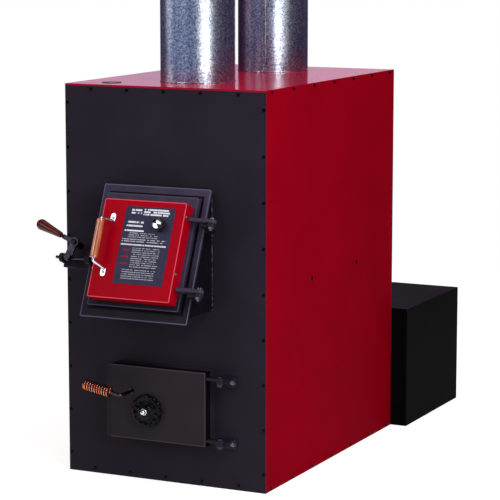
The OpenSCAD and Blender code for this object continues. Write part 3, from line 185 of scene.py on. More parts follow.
def colour(red, green, blue):
    """Screen colour from 0 to 255 as light: c / 12.92 when dark, else ((c + 0.055) / 1.055) ^ 2.4."""
    c = np.array([red, green, blue]) / 255
    c = np.where(c <= 0.04045, c / 12.92, ((c + 0.055) / 1.055) ** 2.4)
    return (*c.tolist(), 1.0)


def add_node(tree, kind, inputs=(), **settings):
    """Node of a kind with its settings, and its inputs set or linked by number or name."""
    made = tree.nodes.new("ShaderNode" + kind)
    for key, value in settings.items():
        setattr(made, key, value)
    for key, value in dict(inputs).items():
        if isinstance(value, bpy.types.NodeSocket):
            tree.links.new(value, made.inputs[key])
        else:
            made.inputs[key].default_value = value
    return made


class Finish:
    """A material under work: its tree, its shader, and short calls that add one node each."""

    def __init__(self, name, base, roughness, metallic=0.0, **constants):
        self.material = bpy.data.materials.new(name)
        self.material.use_nodes = True
        self.material.diffuse_color = base
        self.tree = self.material.node_tree
        self.shader = self.tree.nodes["Principled BSDF"]
        self.shader.inputs["Base Color"].default_value = base
        self.shader.inputs["Roughness"].default_value = roughness
        self.shader.inputs["Metallic"].default_value = metallic
        for socket, value in constants.items():
            self.shader.inputs[socket.replace("_", " ")].default_value = value

    def node(self, kind, inputs=(), **settings):
        """Node of the material's own tree."""
        return add_node(self.tree, kind, inputs, **settings)

    def place(self, stretch=(1, 1, 1), turn=(0, 0, 0), along_map=False):
        """Coordinates of the object, or of the piece's own map, stretched and turned."""
        source = self.node("TexCoord").outputs["UV" if along_map else "Object"]
        return self.node("Mapping", {"Vector": source, "Scale": stretch, "Rotation": turn}).outputs[0]

    def noise(self, at, size, detail=3.0, roughness=0.55):
        """Soft noise whose patches are about size metres across, from 0 to 1."""
        return self.node("TexNoise", {"Vector": at, "Scale": 1 / size, "Detail": detail,
                                      "Roughness": roughness}).outputs[0]

    def cells(self, at, size, output="Color"):
        """Crystals about size metres across, each with its own colour or distance."""
        return self.node("TexVoronoi", {"Vector": at, "Scale": 1 / size}).outputs[output]

    def between(self, value, low, high, to_low=0.0, to_high=1.0):
        """Value moved from one span to another, and held inside it."""
        return self.node("MapRange", {0: value, 1: low, 2: high, 3: to_low, 4: to_high}).outputs[0]

    def spread(self, noise, to_low=0.0, to_high=1.0):
        """Noise, which mostly lies between 0.3 and 0.7, moved to another span."""
        return self.between(noise, 0.3, 0.7, to_low, to_high)

    def math(self, operation, first, second=0.0):
        """Two values joined by an operation, or one value changed by it."""
        return self.node("Math", {0: first, 1: second}, operation=operation).outputs[0]

    def times(self, first, second):
        """Two values multiplied."""
        return self.math("MULTIPLY", first, second)

    def shared(self, first, second, share):
        """Two values added: a share of the first, and the rest of the second."""
        return self.math("ADD", self.times(first, share), self.times(second, 1 - share))

    def tint(self, factor, first, second, blend="MIX"):
        """Two colours mixed by a factor."""
        made = self.node("Mix", {0: factor, 6: first, 7: second}, data_type="RGBA", blend_type=blend)
        return made.outputs[2]

    def along(self, at, way):
        """Distance of a place along a way through the origin."""
        return self.node("VectorMath", {0: at, 1: way}, operation="DOT_PRODUCT").outputs["Value"]

    def axis(self, at, number):
        """One of a place's three coordinates, by number."""
        return self.node("SeparateXYZ", {0: at}).outputs[number]

    def map_x(self):
        """Way round the piece, which its own map tells."""
        return self.axis(self.node("TexCoord").outputs["UV"], 0)

    def from_value(self, value, middle):
        """How far a value is from a middle, either way."""
        return self.math("ABSOLUTE", self.math("SUBTRACT", value, middle))

    def inside(self, at, place, half, up):
        """Distance outside a rectangle, negative inside it. The rectangle lies across x and along up,
        about its place, with half its size each way."""
        past = []
        for way, size in zip(((1.0, 0.0, 0.0), up), half):
            away = self.from_value(self.along(at, way), float(np.dot(place, way)))
            past.append(self.math("SUBTRACT", away, size))
        return self.math("MAXIMUM", *past)

    def painted_highlight_line(self, at, place, half, up, out, width=0.0022):
        """1 on a line of a width along the outline of a flat face, where a highlight is painted, and 0
        elsewhere.
        """
        face = float(np.dot(place, out))
        near = self.between(self.inside(at, place, half, up), -width - 0.0008, -width)
        return self.times(near, self.between(self.along(at, out), face - 0.0016, face - 0.0006))

    def base(self, socket):
        """Colour of the surface."""
        self.tree.links.new(socket, self.shader.inputs["Base Color"])

    def rough(self, socket):
        """Roughness of the surface."""
        self.tree.links.new(socket, self.shader.inputs["Roughness"])

    def relief(self, height, depth):
        """Bumps whose height of 1 stands for depth metres."""
        made = self.node("Bump", {"Strength": 1.0, "Distance": depth, "Height": height})
        self.tree.links.new(made.outputs[0], self.shader.inputs["Normal"])


deep_shadow, red_fold, screw_ring = colour(11, 10, 12), colour(158, 8, 38), colour(66, 2, 12)


def painted(name, dark, light, roughness, specular, peel=0.0015, depth=0.00006, face_y=None,
            line=None, highlight_colour=None, band_z=None, rings=()):
    """Sprayed paint: wide soft patches between two shades, a fine orange peel in gloss and height, and
    a few duller specks of dust. Where a face is given, what lies behind that y is painted nearly black
    as shade. Where a line is given, a pale highlight is painted along that outline. Above the band's z
    the paint is red, and a dark ring lies round each place y, z of the rings."""
    f = Finish(name, light, roughness, Specular_IOR_Level=specular)
    at = f.place()
    patches = f.noise(at, 0.22, 4.0)
    specks = f.between(f.noise(at, 0.004, 2.0), 0.66, 0.78)
    base = f.tint(f.spread(patches), dark, light)
    # Painted shade: what lies behind the face's y, the sides of a door, is made nearly black
    if face_y is not None:
        base = f.tint(f.between(f.axis(at, 1), face_y, face_y + 0.0008), base, deep_shadow)
    # Painted highlight: a pale line along the given outline
    if line is not None:
        base = f.tint(f.painted_highlight_line(at, *line), base, highlight_colour)
    if band_z is not None:
        base = f.tint(f.between(f.axis(at, 2), band_z, band_z + 0.0005), base, red_fold)
    for y, z in rings:
        flat = f.node("VectorMath", {0: at, 1: (0, 1, 1)}, operation="MULTIPLY").outputs[0]
        away = f.node("VectorMath", {0: flat, 1: (0, y, z)}, operation="DISTANCE").outputs["Value"]
        base = f.tint(f.between(away, 0.0078, 0.0062), base, screw_ring)
    f.base(base)
    fine = f.noise(at, peel, 2.0)
    gloss = f.spread(f.shared(patches, fine, 0.6), roughness - 0.06, roughness + 0.06)
    f.rough(f.math("ADD", gloss, f.times(specks, 0.12)))
    f.relief(fine, depth)
    return f.material


# The last two colours are painted shade: low on the leaning frame, and round the door plate
weld_bead, low_shade, plate_shadow = colour(92, 86, 100), colour(17, 14, 19), colour(6, 5, 8)


def cast_iron_paint(name, dark, light, roughness, specular, weld_y=None, line=None, gap=None,
                    fade=None, highlight_colour=None):
    """Paint over rolled and cast iron: fine grains between two shades, shallow pits, and a paler worn
    skin in wide patches. Where a weld is given, the metal within 3 mm of that y is a paler ripple.
    A line is an outline with a painted pale highlight, a gap is a rectangle with a painted shadow round
    it, and a fade is the pair of heights up the leaning frame between which painted shade clears."""
    f = Finish(name, light, roughness, Specular_IOR_Level=specular)
    at = f.place()
    grain = f.noise(at, 0.0022, 4.0, 0.65)
    wide = f.noise(at, 0.06, 4.0)
    both = f.shared(grain, wide, 0.45)
    base = f.tint(f.between(both, 0.36, 0.64), dark, light)
    height = grain
    if weld_y is not None:
        away = f.from_value(f.axis(at, 1), weld_y)
        ripple = f.between(f.noise(at, 0.009, 2.0), 0.42, 0.62)
        bead = f.times(f.between(away, 0.0034, 0.0024), ripple)
        base = f.tint(bead, base, weld_bead)
        height = f.math("ADD", grain, f.times(bead, 3.0))
    # Painted shade: the paint darkens towards the bottom of the leaning frame
    if fade is not None:
        base = f.tint(f.between(f.along(at, slant_up), *fade, 0.8, 0.0), base, low_shade)
    # Painted shadow: a dark band round the rectangle, on the face beside the plate
    if gap is not None:
        off = f.inside(at, *gap)
        shadow_band = f.times(f.between(off, -0.001, 0.0), f.between(off, 0.0074, 0.006))
        base = f.tint(shadow_band, base, plate_shadow)
    # Painted highlight: a pale line along the given outline
    if line is not None:
        base = f.tint(f.painted_highlight_line(at, *line), base, highlight_colour)
    f.base(base)
    f.rough(f.spread(both, roughness + 0.1, roughness - 0.08))
    f.relief(height, 0.00018)
    return f.material


# Tint of a painted dark reflection on the rear duct's side that faces the front duct
painted_reflection_tint = (0.4, 0.26, 0.32, 1.0)


def galvanised_steel(name, shades, crystal, roughness, dull=1.0, contrast=0.3, dark_side=False):
    """Zinc on steel: crystals of two sizes in metres, each with its own shade and its own dullness,
    and faint streaks that run down. A painted dark reflection can darken one side, told by the map's
    way round."""
    f = Finish(name, shades[1], roughness, 1.0)
    at = f.place()
    pick = f.node("SeparateColor", {0: f.cells(at, crystal)}).outputs
    fine = f.node("SeparateColor", {0: f.cells(at, crystal * 0.42)}).outputs
    streak = f.noise(f.place((1, 1, 0.04)), 0.012, 3.0)
    mixed = f.shared(f.shared(pick[0], fine[1], 0.45), streak, 0.8)
    base = f.tint(f.between(mixed, 0.5 - contrast, 0.5 + contrast), shades[0], shades[1])
    # Painted reflection: one side of the duct is darkened, as if it mirrored the other duct
    if dark_side:
        way = f.map_x()
        cover = f.times(f.between(way, 0.36, 0.55), f.between(way, 0.83, 0.69))
        base = f.tint(cover, base, f.tint(1.0, base, painted_reflection_tint, "MULTIPLY"))
    f.base(base)
    f.rough(f.between(f.shared(pick[2], fine[0], 0.5), 0.1, 0.9, roughness - 0.1 * dull,
                      roughness + 0.14 * dull))
    f.relief(f.noise(at, 0.016, 2.0), 0.00003)
    return f.material


def plated_steel(name, base, roughness):
    """Bright plating: fine scratches in height and gloss, and a slight haze in patches."""
    f = Finish(name, base, roughness, 1.0)
    haze = f.noise(f.place(), 0.012, 3.0)
    lines = f.noise(f.place((1, 0.08, 1), (0.5, 0.3, 0.9)), 0.0006, 2.0)
    f.rough(f.spread(haze, roughness * 0.7, roughness * 1.5))
    dim = (base[0] * 0.82, base[1] * 0.82, base[2] * 0.84, 1.0)
    f.base(f.tint(f.between(lines, 0.35, 0.7), base, dim))
    f.relief(lines, 0.00001)
    return f.material


def lacquered_wood():
    """Turned hardwood under clear lacquer: fibres drawn out along the grip, darker rings of growth and
    short dark pores."""
    f = Finish("lacquered_wood", colour(172, 88, 40), 0.3, Specular_IOR_Level=0.5, Coat_Weight=1.0,
               Coat_Roughness=0.12, Coat_IOR=1.9)
    fibres = f.noise(f.place((1, 0.09, 1), along_map=True), 0.0011, 4.0, 0.6)
    growth = f.noise(f.place((1, 0.16, 1), along_map=True), 0.007, 2.0)
    pores = f.between(f.noise(f.place((1, 0.05, 1), along_map=True), 0.0006, 2.0), 0.62, 0.72)
    wood = f.tint(f.spread(growth), colour(156, 72, 32), colour(220, 126, 68))
    wood = f.tint(f.between(fibres, 0.35, 0.75, 0.0, 0.55), wood, colour(112, 48, 20))
    f.base(f.tint(f.times(pores, 0.6), wood, colour(84, 36, 16)))
    f.rough(f.spread(fibres, 0.24, 0.4))
    f.relief(f.math("SUBTRACT", fibres, pores), 0.00006)
    return f.material


def red_lever_grip():
    """Dipped red-brown grip, glossy, with soft mottling and a fine skin."""
    f = Finish("red_lever_grip", colour(112, 16, 12), 0.22, Specular_IOR_Level=0.3, Coat_Weight=0.22,
               Coat_Roughness=0.08)
    at = f.place()
    mottle = f.noise(at, 0.012, 4.0)
    skin = f.noise(at, 0.0008, 2.0)
    f.base(f.tint(f.spread(mottle), colour(60, 6, 5), colour(98, 13, 10)))
    f.rough(f.spread(skin, 0.16, 0.3))
    f.relief(skin, 0.00003)
    return f.material


wire_map = 0.01


def copper_wire():
    """Drawn copper-plated wire: lines along the wire, heat-darkened patches along its length, and
    painted shade on the side that faces the rod, which the map tells by the cosine of its way round."""
    f = Finish("copper_wire", colour(214, 122, 78), 0.26, 1.0)
    round_wire = f.times(f.map_x(), 2 * math.pi / wire_map)
    outer = f.between(f.math("COSINE", round_wire), -0.1, 0.9)
    lines = f.noise(f.place((1, 0.02, 1), along_map=True), 0.0004, 2.0)
    heat = f.noise(f.place((0.2, 1, 1), along_map=True), 0.03, 3.0)
    bright = f.tint(f.between(heat, 0.35, 0.7), colour(252, 146, 100), colour(186, 70, 42))
    # Painted shade: the side of the wire that faces the rod is nearly black
    f.base(f.tint(outer, colour(40, 8, 6), bright))
    f.rough(f.spread(lines, 0.14, 0.28))
    f.relief(lines, 0.00002)
    return f.material


def moulded_black(name, base, roughness, specular=0.5):
    """Moulded handwheel and knob material: slight flow marks and a fine skin."""
    f = Finish(name, base, roughness, Specular_IOR_Level=specular)
    at = f.place()
    flow = f.noise(at, 0.02, 3.0)
    skin = f.noise(at, 0.0009, 2.0)
    lifted = tuple(min(1.0, 1.7 * c + 0.004) for c in base[:3]) + (1.0,)
    f.base(f.tint(f.between(flow, 0.35, 0.65), base, lifted))
    f.rough(f.spread(skin, roughness * 0.8, roughness * 1.25))
    f.relief(skin, 0.00003)
    return f.material


def fired_brick():
    """Firebrick: buff clay with sandy grains, dark iron specks and small pits."""
    f = Finish("fired_brick", colour(196, 164, 122), 0.92, Specular_IOR_Level=0.2)
    at = f.place()
    sand = f.noise(at, 0.0016, 4.0, 0.7)
    wide = f.noise(at, 0.05, 4.0)
    specks = f.between(f.noise(at, 0.003, 1.0), 0.68, 0.74)
    clay = f.tint(f.spread(wide), colour(180, 146, 104), colour(210, 182, 142))
    clay = f.tint(f.between(sand, 0.4, 0.8, 0.0, 0.5), clay, colour(150, 118, 84))
    f.base(f.tint(specks, clay, colour(70, 48, 38)))
    f.rough(f.spread(sand, 0.86, 0.98))
    f.relief(f.math("SUBTRACT", sand, specks), 0.0004)
    return f.material


def woven_gasket():
    """Plaited glass-fibre rope: small crossed strands, pale and a little soiled."""
    f = Finish("woven_gasket", colour(206, 202, 190), 0.95, Specular_IOR_Level=0.2, Sheen_Weight=0.2)
    at = f.place()
    strands = f.cells(f.place((1, 1, 0.6), (0.6, 0.6, 0.6)), 0.0022, "Distance")
    soiled = f.noise(at, 0.02, 4.0)
    f.base(f.tint(f.between(soiled, 0.4, 0.8), colour(214, 210, 198), colour(120, 112, 100)))
    f.rough(f.between(strands, 0.0, 0.8, 0.98, 0.85))
    f.relief(f.math("SUBTRACT", 1.0, strands), 0.0006)
    return f.material


def filter_fibres():
    """Filter pad: pale blue tangled fibres in a card border."""
    f = Finish("filter_fibres", colour(196, 208, 220), 0.95, Specular_IOR_Level=0.15)
    at = f.place()
    tangle = f.noise(at, 0.003, 6.0, 0.75)
    clumps = f.noise(at, 0.03, 3.0)
    f.base(f.tint(f.between(tangle, 0.35, 0.7), colour(148, 164, 182), colour(222, 230, 238)))
    f.rough(f.spread(clumps, 0.88, 0.98))
    f.relief(f.math("ADD", tangle, clumps), 0.0012)
    return f.material


def scorched_iron():
    """Iron inside the firebox: matt black and sooty, with brownish scale."""
    f = Finish("scorched_iron", colour(34, 31, 30), 0.85, Specular_IOR_Level=0.25)
    at = f.place()
    scale = f.noise(at, 0.018, 5.0, 0.6)
    grain = f.noise(at, 0.002, 3.0)
    f.base(f.tint(f.between(scale, 0.45, 0.75), colour(27, 25, 26), colour(74, 52, 40)))
    f.rough(f.spread(grain, 0.75, 0.95))
    f.relief(f.math("ADD", scale, grain), 0.0004)
    return f.material


insert_map = 0.04


def spun_metal():
    """Face turned on a lathe: rings of fine grooves about the knob's middle, in shade and height, and
    two darker fans of painted reflection, told by the cosine of twice the map's way round."""
    f = Finish("spun_metal", colour(214, 214, 222), 0.2, 1.0, Anisotropic=0.7)
    rings = f.noise(f.place((0.02, 1, 1), along_map=True), 0.0003, 2.0)
    twice_round = f.times(f.map_x(), 2 * 2 * math.pi / insert_map)
    # Painted reflection: two dark fans across the spun face
    fan = f.math("COSINE", f.math("SUBTRACT", twice_round, 1.9))
    shade = f.tint(f.spread(rings), colour(198, 198, 208), colour(240, 240, 246))
    f.base(f.tint(f.between(fan, -0.75, -0.25), colour(34, 32, 42), shade))
    f.rough(f.spread(rings, 0.16, 0.3))
    f.relief(rings, 0.00003)
    return f.material


def on_frame(x, up, out):
    """Place on the leaning frame in metres."""
    return on_slant(np.array([x, out, up])) / 1000


def frame_heights(*ups):
    """Heights along the leaning frame, counted from the room's origin, in metres."""
    return tuple(float(on_frame(0, up, 0) @ np.array(slant_up)) for up in ups)


# Outlines along which pale highlights are painted: frame, door plate, cover and ash door
frame_highlight = (on_frame(0, 183, 0), (0.159, 0.183), slant_up, slant_out)
plate_highlight = (on_frame(2, 183, plate_face), (0.135, 0.154), slant_up, slant_out, 0.0016)
# Rectangle of the door plate, round which a shadow is painted on the frame
plate_shadow_box = (on_frame(2, 184.5, plate_face), (0.135, 0.1555), slant_up)
cover_highlight = (on_frame(6, 176, cover_face), (0.121, 0.134), slant_up, slant_out, 0.0019)
ash_highlight = ((0.0005, ash_door_front / 1000, 0.224), (0.1495, 0.100), (0.0, 0.0, 1.0), (0.0, -1.0, 0.0))
side_screws = ((-0.143, 0.535), (0.170, 0.535))

panel_shades = (colour(36, 31, 40), colour(44, 38, 48))
satin_black = painted("satin_black", *panel_shades, 0.45, 0.05)
front_black = painted("front_black", *panel_shades, 0.45, 0.05, band_z=1.065)
# The ash door's sides are painted nearly black as shade, and a pale highlight is painted round its face
ash_black = painted("ash_black", colour(40, 34, 40), colour(50, 43, 49), 0.45, 0.05, face_y=-0.4936,
                    line=ash_highlight, highlight_colour=colour(68, 60, 67))
side_red = painted("side_red", colour(138, 0, 20), colour(150, 1, 24), 0.5, 0.003, rings=side_screws)
gloss_red = painted("gloss_red", colour(188, 5, 46), colour(204, 12, 54), 0.12, 0.10, 0.003, 0.00003)
door_red = painted("door_red", colour(152, 0, 20), colour(168, 1, 24), 0.34, 0.03, 0.0016, 0.00004,
                   line=cover_highlight, highlight_colour=colour(224, 76, 90))
iron_grey = cast_iron_paint("iron_grey", colour(50, 43, 60), colour(70, 61, 82), 0.46, 0.16)
# Frame and plate: painted shade towards the bottom and a painted shadow round the plate
frame_iron = cast_iron_paint("frame_iron", colour(50, 43, 62), colour(70, 60, 84), 0.46, 0.12,
                             line=frame_highlight, highlight_colour=colour(94, 85, 112), gap=plate_shadow_box,
                             fade=frame_heights(20, 290))
plate_iron = cast_iron_paint("plate_iron", colour(49, 42, 60), colour(67, 58, 80), 0.46, 0.12,
                             line=plate_highlight, highlight_colour=colour(80, 72, 95),
                             fade=frame_heights(43, 75))
chute_black = cast_iron_paint("chute_black", colour(13, 11, 16), colour(22, 20, 27), 0.5, 0.05, -0.4437)
hinge_iron = cast_iron_paint("hinge_iron", colour(23, 21, 30), colour(36, 32, 45), 0.36, 0.14)
black_box_paint = painted("black_box_paint", colour(9, 8, 10), colour(13, 12, 14), 0.42, 0.003)
zinc_shades = (colour(92, 103, 136), colour(240, 246, 255))
duct_steel = galvanised_steel("duct_steel", zinc_shades, 0.0034, 0.3, 0.35, 0.24)
rear_duct_steel = galvanised_steel("rear_duct_steel", zinc_shades, 0.0034, 0.3, 0.35, 0.24, True)
sheet_zinc = galvanised_steel("sheet_zinc", (colour(128, 136, 148), colour(196, 202, 210)), 0.014, 0.38)
bright_plate = plated_steel("bright_plate", colour(222, 222, 230), 0.14)
zinc_plate = plated_steel("zinc_plate", colour(176, 176, 184), 0.28)
pin_steel = plated_steel("pin_steel", colour(112, 108, 120), 0.3)
dark_screw = plated_steel("dark_screw", colour(26, 20, 24), 0.4)
dark_steel = plated_steel("dark_steel", colour(62, 55, 66), 0.26)
wood = lacquered_wood()
red_grip = red_lever_grip()
copper = copper_wire()
wheel_black = moulded_black("wheel_black", colour(5, 5, 8), 0.12, 0.08)
knob_black = moulded_black("knob_black", colour(20, 19, 24), 0.26)
brick = fired_brick()
gasket = woven_gasket()
filter_pad = filter_fibres()
soot_iron = scorched_iron()
spun = spun_metal()


# Finishes of the model's own pieces

finishes = {
    "front_panel": front_black, "rear_panel": satin_black, "base_pan": satin_black,
    "left_side_panel": side_red, "right_side_panel": side_red, "top_panel": gloss_red,
    "cabinet_screws": dark_screw, "top_hole_plug": knob_black, "heat_shields": sheet_zinc,
    "duct_collars": sheet_zinc, "firebox_body": soot_iron, "firebricks": brick,
    "fire_grate": soot_iron, "ash_pan": soot_iron, "baffle_plate": soot_iron,
    "flue_collar": soot_iron, "feed_chute": chute_black, "feed_door_frame": frame_iron,
    "feed_hinge_brackets": hinge_iron, "feed_hinge_pins": pin_steel,
    "feed_door_plate": plate_iron, "feed_door_gasket": gasket, "feed_door_shield": sheet_zinc,
    "feed_door_cover": door_red, "door_screws": zinc_plate, "feed_hinge_lugs": iron_grey,
    "latch_staple": iron_grey, "air_shutter": zinc_plate, "latch_bracket": satin_black,
    "latch_bolt_guide": satin_black, "latch_pivot": dark_steel, "latch_lever": dark_steel,
    "latch_bolt": dark_steel, "latch_bolt_nut": dark_steel, "ash_door_frame": satin_black,
    "ash_hinge_brackets": hinge_iron, "ash_hinge_bolts": pin_steel,
    "ash_hinge_pins": dark_steel, "ash_door": ash_black, "ash_door_gasket": gasket,
    "ash_hinge_lugs": hinge_iron, "ash_latch_rod": dark_steel, "draft_bolt": bright_plate,
    "blower_box": black_box_paint, "blower_box_lid": black_box_paint, "blower_housing": sheet_zinc,
    "blower_wheel": sheet_zinc, "blower_motor": black_box_paint, "air_filter": filter_pad,
    "cable_gland": knob_black,
}


sharp_turn, broken_turn = 32, 36


def make_shading(name, smooth):
    """Node group that shades faces smooth or flat, and keeps each edge sharp that turns by more than
    sharp_turn degrees. The normals that came with the loose triangles are dropped, because joining
    upsets them."""
    group = bpy.data.node_groups.new(name, "GeometryNodeTree")
    group.interface.new_socket("Geometry", in_out="INPUT", socket_type="NodeSocketGeometry")
    group.interface.new_socket("Geometry", in_out="OUTPUT", socket_type="NodeSocketGeometry")
    add, link = group.nodes.new, group.links.new
    start, end = add("NodeGroupInput"), add("NodeGroupOutput")
    faces, edges = add("GeometryNodeSetShadeSmooth"), add("GeometryNodeSetShadeSmooth")
    faces.domain, edges.domain = "FACE", "EDGE"
    faces.inputs["Shade Smooth"].default_value = smooth
    edges.inputs["Shade Smooth"].default_value = False
    angle, more = add("GeometryNodeInputMeshEdgeAngle"), add("FunctionNodeCompare")
    more.data_type, more.operation = "FLOAT", "GREATER_THAN"
    more.inputs[1].default_value = math.radians(sharp_turn)
    link(angle.outputs[0], more.inputs[0])
    plain = add("GeometryNodeRemoveAttribute")
    plain.inputs["Name"].default_value = "custom_normal"
    link(start.outputs[0], plain.inputs["Geometry"])
    link(plain.outputs[0], faces.inputs["Geometry"])
    link(faces.outputs[0], edges.inputs["Geometry"])
    link(more.outputs[0], edges.inputs["Selection"])
    link(edges.outputs[0], end.inputs[0])
    return group


smooth_shading, flat_shading = make_shading("smooth_shading", True), make_shading("flat_shading", False)
flat_pieces = {"front_panel", "rear_panel", "base_pan", "left_side_panel", "right_side_panel",
               "top_panel", "blower_box", "blower_box_lid", "feed_door_frame", "feed_door_plate",
               "heat_shields", "feed_door_shield", "air_filter", "ash_door", "ash_door_frame",
               "firebox_body", "firebricks", "ash_pan", "baffle_plate", "feed_chute"}
edge_widths = {
    "feed_door_frame": 0.002, "feed_door_plate": 0.002,
    "feed_door_cover": 0.0018, "feed_hinge_brackets": 0.0012, "feed_hinge_lugs": 0.0012,
    "feed_chute": 0.0009, "latch_bracket": 0.0009, "latch_lever": 0.0009,
    "latch_bolt_guide": 0.0009, "latch_staple": 0.0009, "ash_door": 0.0013,
    "ash_door_frame": 0.001, "ash_hinge_brackets": 0.001, "ash_hinge_lugs": 0.001,
    "ash_hinge_bolts": 0.0004, "latch_bolt": 0.0005, "latch_bolt_nut": 0.0006,
    "latch_pivot": 0.0004, "feed_hinge_pins": 0.0005, "ash_hinge_pins": 0.0005,
    "firebricks": 0.0015, "flue_collar": 0.0006, "ash_latch_rod": 0.0004, "draft_bolt": 0.0004,
}


def dressed(name, finish):
    """The model's piece gets its finish. Its loose triangles are joined, and where edge_widths has a
    width in metres for it, its sharp edges are broken by that."""
    piece = nodes[name]
    piece.data.materials.clear()
    piece.data.materials.append(finish)
    weld = piece.modifiers.new("joined", "WELD")
    weld.merge_threshold = 1e-6
    if name in edge_widths:
        bevel = piece.modifiers.new("broken_edges", "BEVEL")
        bevel.width = edge_widths[name]
        bevel.segments = 1
        bevel.limit_method = "ANGLE"
        bevel.angle_limit = math.radians(broken_turn)
        bevel.use_clamp_overlap = True
    shade = piece.modifiers.new("shaded", "NODES")
    shade.node_group = flat_shading if name in flat_pieces else smooth_shading


for name, finish in finishes.items():
    dressed(name, finish)


# Ducts

inner_radius, bead_radius = 101.3, 103.45
seam_half, seam_ease, seam_high = 3.2, 0.7, 1.15


def duct(name, y, seam_at, steel):
    """Round duct: a profile of its wall with a rolled stop bead and a rolled rim, turned about its
    axis, whose radius is raised by a folded seam 7 mm wide that runs along it."""
    wall = [(inner_radius, duct_low), (102.2, duct_low), (102.2, cabinet_high - 0.4),
            (103.1, cabinet_high), (bead_radius, cabinet_high + 1.5), (103.1, cabinet_high + 3),
            (duct_radius, cabinet_high + 3.6), (duct_radius, duct_high - 3), (duct_radius, duct_high),
            (inner_radius, duct_high)]
    wall = np.array(wall)
    rows = np.concatenate([np.linspace(wall[:-1], wall[1:], 4, endpoint=False).transpose(1, 0, 2)
                           .reshape(-1, 2), wall[-1:]])
    a = np.linspace(0, 2 * np.pi, 720, endpoint=False)
    away = np.abs((a - seam_at + np.pi) % (2 * np.pi) - np.pi) * duct_radius
    fold = np.clip((seam_half + seam_ease - away) / seam_ease, 0, 1) * seam_high
    above = (rows[:, 1] > cabinet_high + 1) & (rows[:, 0] > 102)
    radius = rows[:, 0][:, None] + np.where(above[:, None], fold[None, :], 0)
    radius = np.minimum(radius, bead_radius)
    grid = np.stack([duct_x + radius * np.cos(a), y + radius * np.sin(a),
                     rows[:, 1][:, None] + 0 * radius], axis=-1)
    return make(name + "_steel", [(grid, True)], steel, "cabinet", (name,), 25)


duct("front_duct", duct_front_y, math.radians(105), duct_steel)
duct("rear_duct", duct_rear_y, math.radians(-79), rear_duct_steel)


# Instruction plate

# Blocks of print in the plate's own map, in metres: left, right, low, high, pitch of the rows, how
# much of the pitch is inked, length of a mark, start of the noise, and how dense the marks are
pale_blocks = ((0.054, 0.140, 0.186, 0.206, 0.0066, 0.66, 0.006, 1.0, 1.0),
               (0.018, 0.054, 0.188, 0.204, 0.008, 0.6, 0.006, 2.0, 0.9),
               (0.010, 0.066, 0.152, 0.172, 0.010, 0.5, 0.004, 2.5, 0.9),
               (0.007, 0.072, 0.1405, 0.1475, 0.007, 0.6, 0.005, 2.8, 1.0),
               (0.020, 0.122, 0.124, 0.140, 0.0054, 0.42, 0.003, 3.0, 0.5),
               (0.004, 0.146, 0.112, 0.123, 0.0056, 0.42, 0.003, 4.0, 0.6),
               (0.003, 0.160, 0.1025, 0.1095, 0.007, 0.55, 0.004, 4.5, 0.85),
               (0.040, 0.132, 0.044, 0.1015, 0.0056, 0.36, 0.003, 5.0, 0.5),
               (0.020, 0.134, 0.012, 0.041, 0.0058, 0.34, 0.003, 6.0, 0.5))
red_block = (0.010, 0.038, 0.046, 0.100, 0.018, 0.24, 0.004, 7.0, 1.0)


def instruction_rows():
    """Printed plate: a dark ground, and rows of short pale marks in place of words. A row is a band in
    height; inside it, noise stretched thin decides where marks and gaps fall, and other noise where
    the row ends."""
    f = Finish("instruction_rows", colour(50, 50, 74), 0.34, Specular_IOR_Level=0.12)
    here = f.node("TexCoord").outputs["UV"]
    across, up = f.axis(here, 0), f.axis(here, 1)

    def held(value, low, high):
        return f.times(f.math("GREATER_THAN", value, low), f.math("LESS_THAN", value, high))

    def printed(left, right, low, high, pitch, fill, mark, start, dense):
        rows_up = f.math("DIVIDE", f.math("SUBTRACT", up, low), pitch)
        band = held(f.math("FRACT", rows_up), 0.5 - fill / 2, 0.5 + fill / 2)
        row = f.math("FLOOR", rows_up)
        at = f.node("CombineXYZ", {0: across, 1: f.times(row, 0.37), 2: start}).outputs[0]
        words = f.math("GREATER_THAN", f.noise(at, mark, 1.0), 0.5 - 0.13 * dense)
        at = f.node("CombineXYZ", {0: 0.0, 1: f.times(row, 2.3), 2: start}).outputs[0]
        ragged = f.times(f.noise(at, 1.0, 0.0), (right - left) * 0.3)
        reach = held(across, left, f.math("SUBTRACT", right, ragged))
        inked = f.times(band, f.times(words, dense))
        return f.times(inked, f.times(reach, held(up, low, high)))

    pale = printed(*pale_blocks[0])
    for rows in pale_blocks[1:]:
        pale = f.math("MAXIMUM", pale, printed(*rows))
    red = printed(*red_block)
    at = f.place()
    ground = f.tint(f.spread(f.noise(at, 0.03, 3.0)), colour(41, 39, 64), colour(52, 49, 75))
    ground = f.tint(pale, ground, colour(228, 228, 238))
    f.base(f.tint(red, ground, colour(132, 24, 44)))
    f.rough(f.math("ADD", f.spread(f.noise(at, 0.001, 2.0), 0.28, 0.4), f.times(pale, 0.15)))
    f.relief(f.math("ADD", pale, f.noise(at, 0.0012, 2.0)), 0.00002)
    return f.material


def instruction_plate():
    """Thin plate on the cover: a slab of its rectangle, with a flat map in metres on its face, which
    counts from the lower left corner."""
    x, up, wide, tall = 25.75, 188.0, 145.5, 210.0
    outline = round_outline(x, up, wide, tall, 1.5, 6)
    plate = slab(outline, cover_face + 0.02, cover_face + 0.98)
    piece = make("instruction_plate_print", [(plate, False)], instruction_rows(), "feed_door",
                 ("instruction_plate",))
    mesh = piece.data
    points = np.empty(len(mesh.vertices) * 3)
    mesh.vertices.foreach_get("co", points)
    index = np.empty(len(mesh.loops), int)
    mesh.loops.foreach_get("vertex_index", index)
    away = points.reshape(-1, 3) * 1000 - np.array(slant_foot)
    flat = np.stack([away[:, 0] - (x - wide / 2), away @ np.array(slant_up) - (up - tall / 2)], axis=-1)
    mesh.uv_layers[0].data.foreach_set("uv", (flat[index] / 1000).ravel())


instruction_plate()


# Feed door pull

pull_x, pull_out = -95.5, 96.0


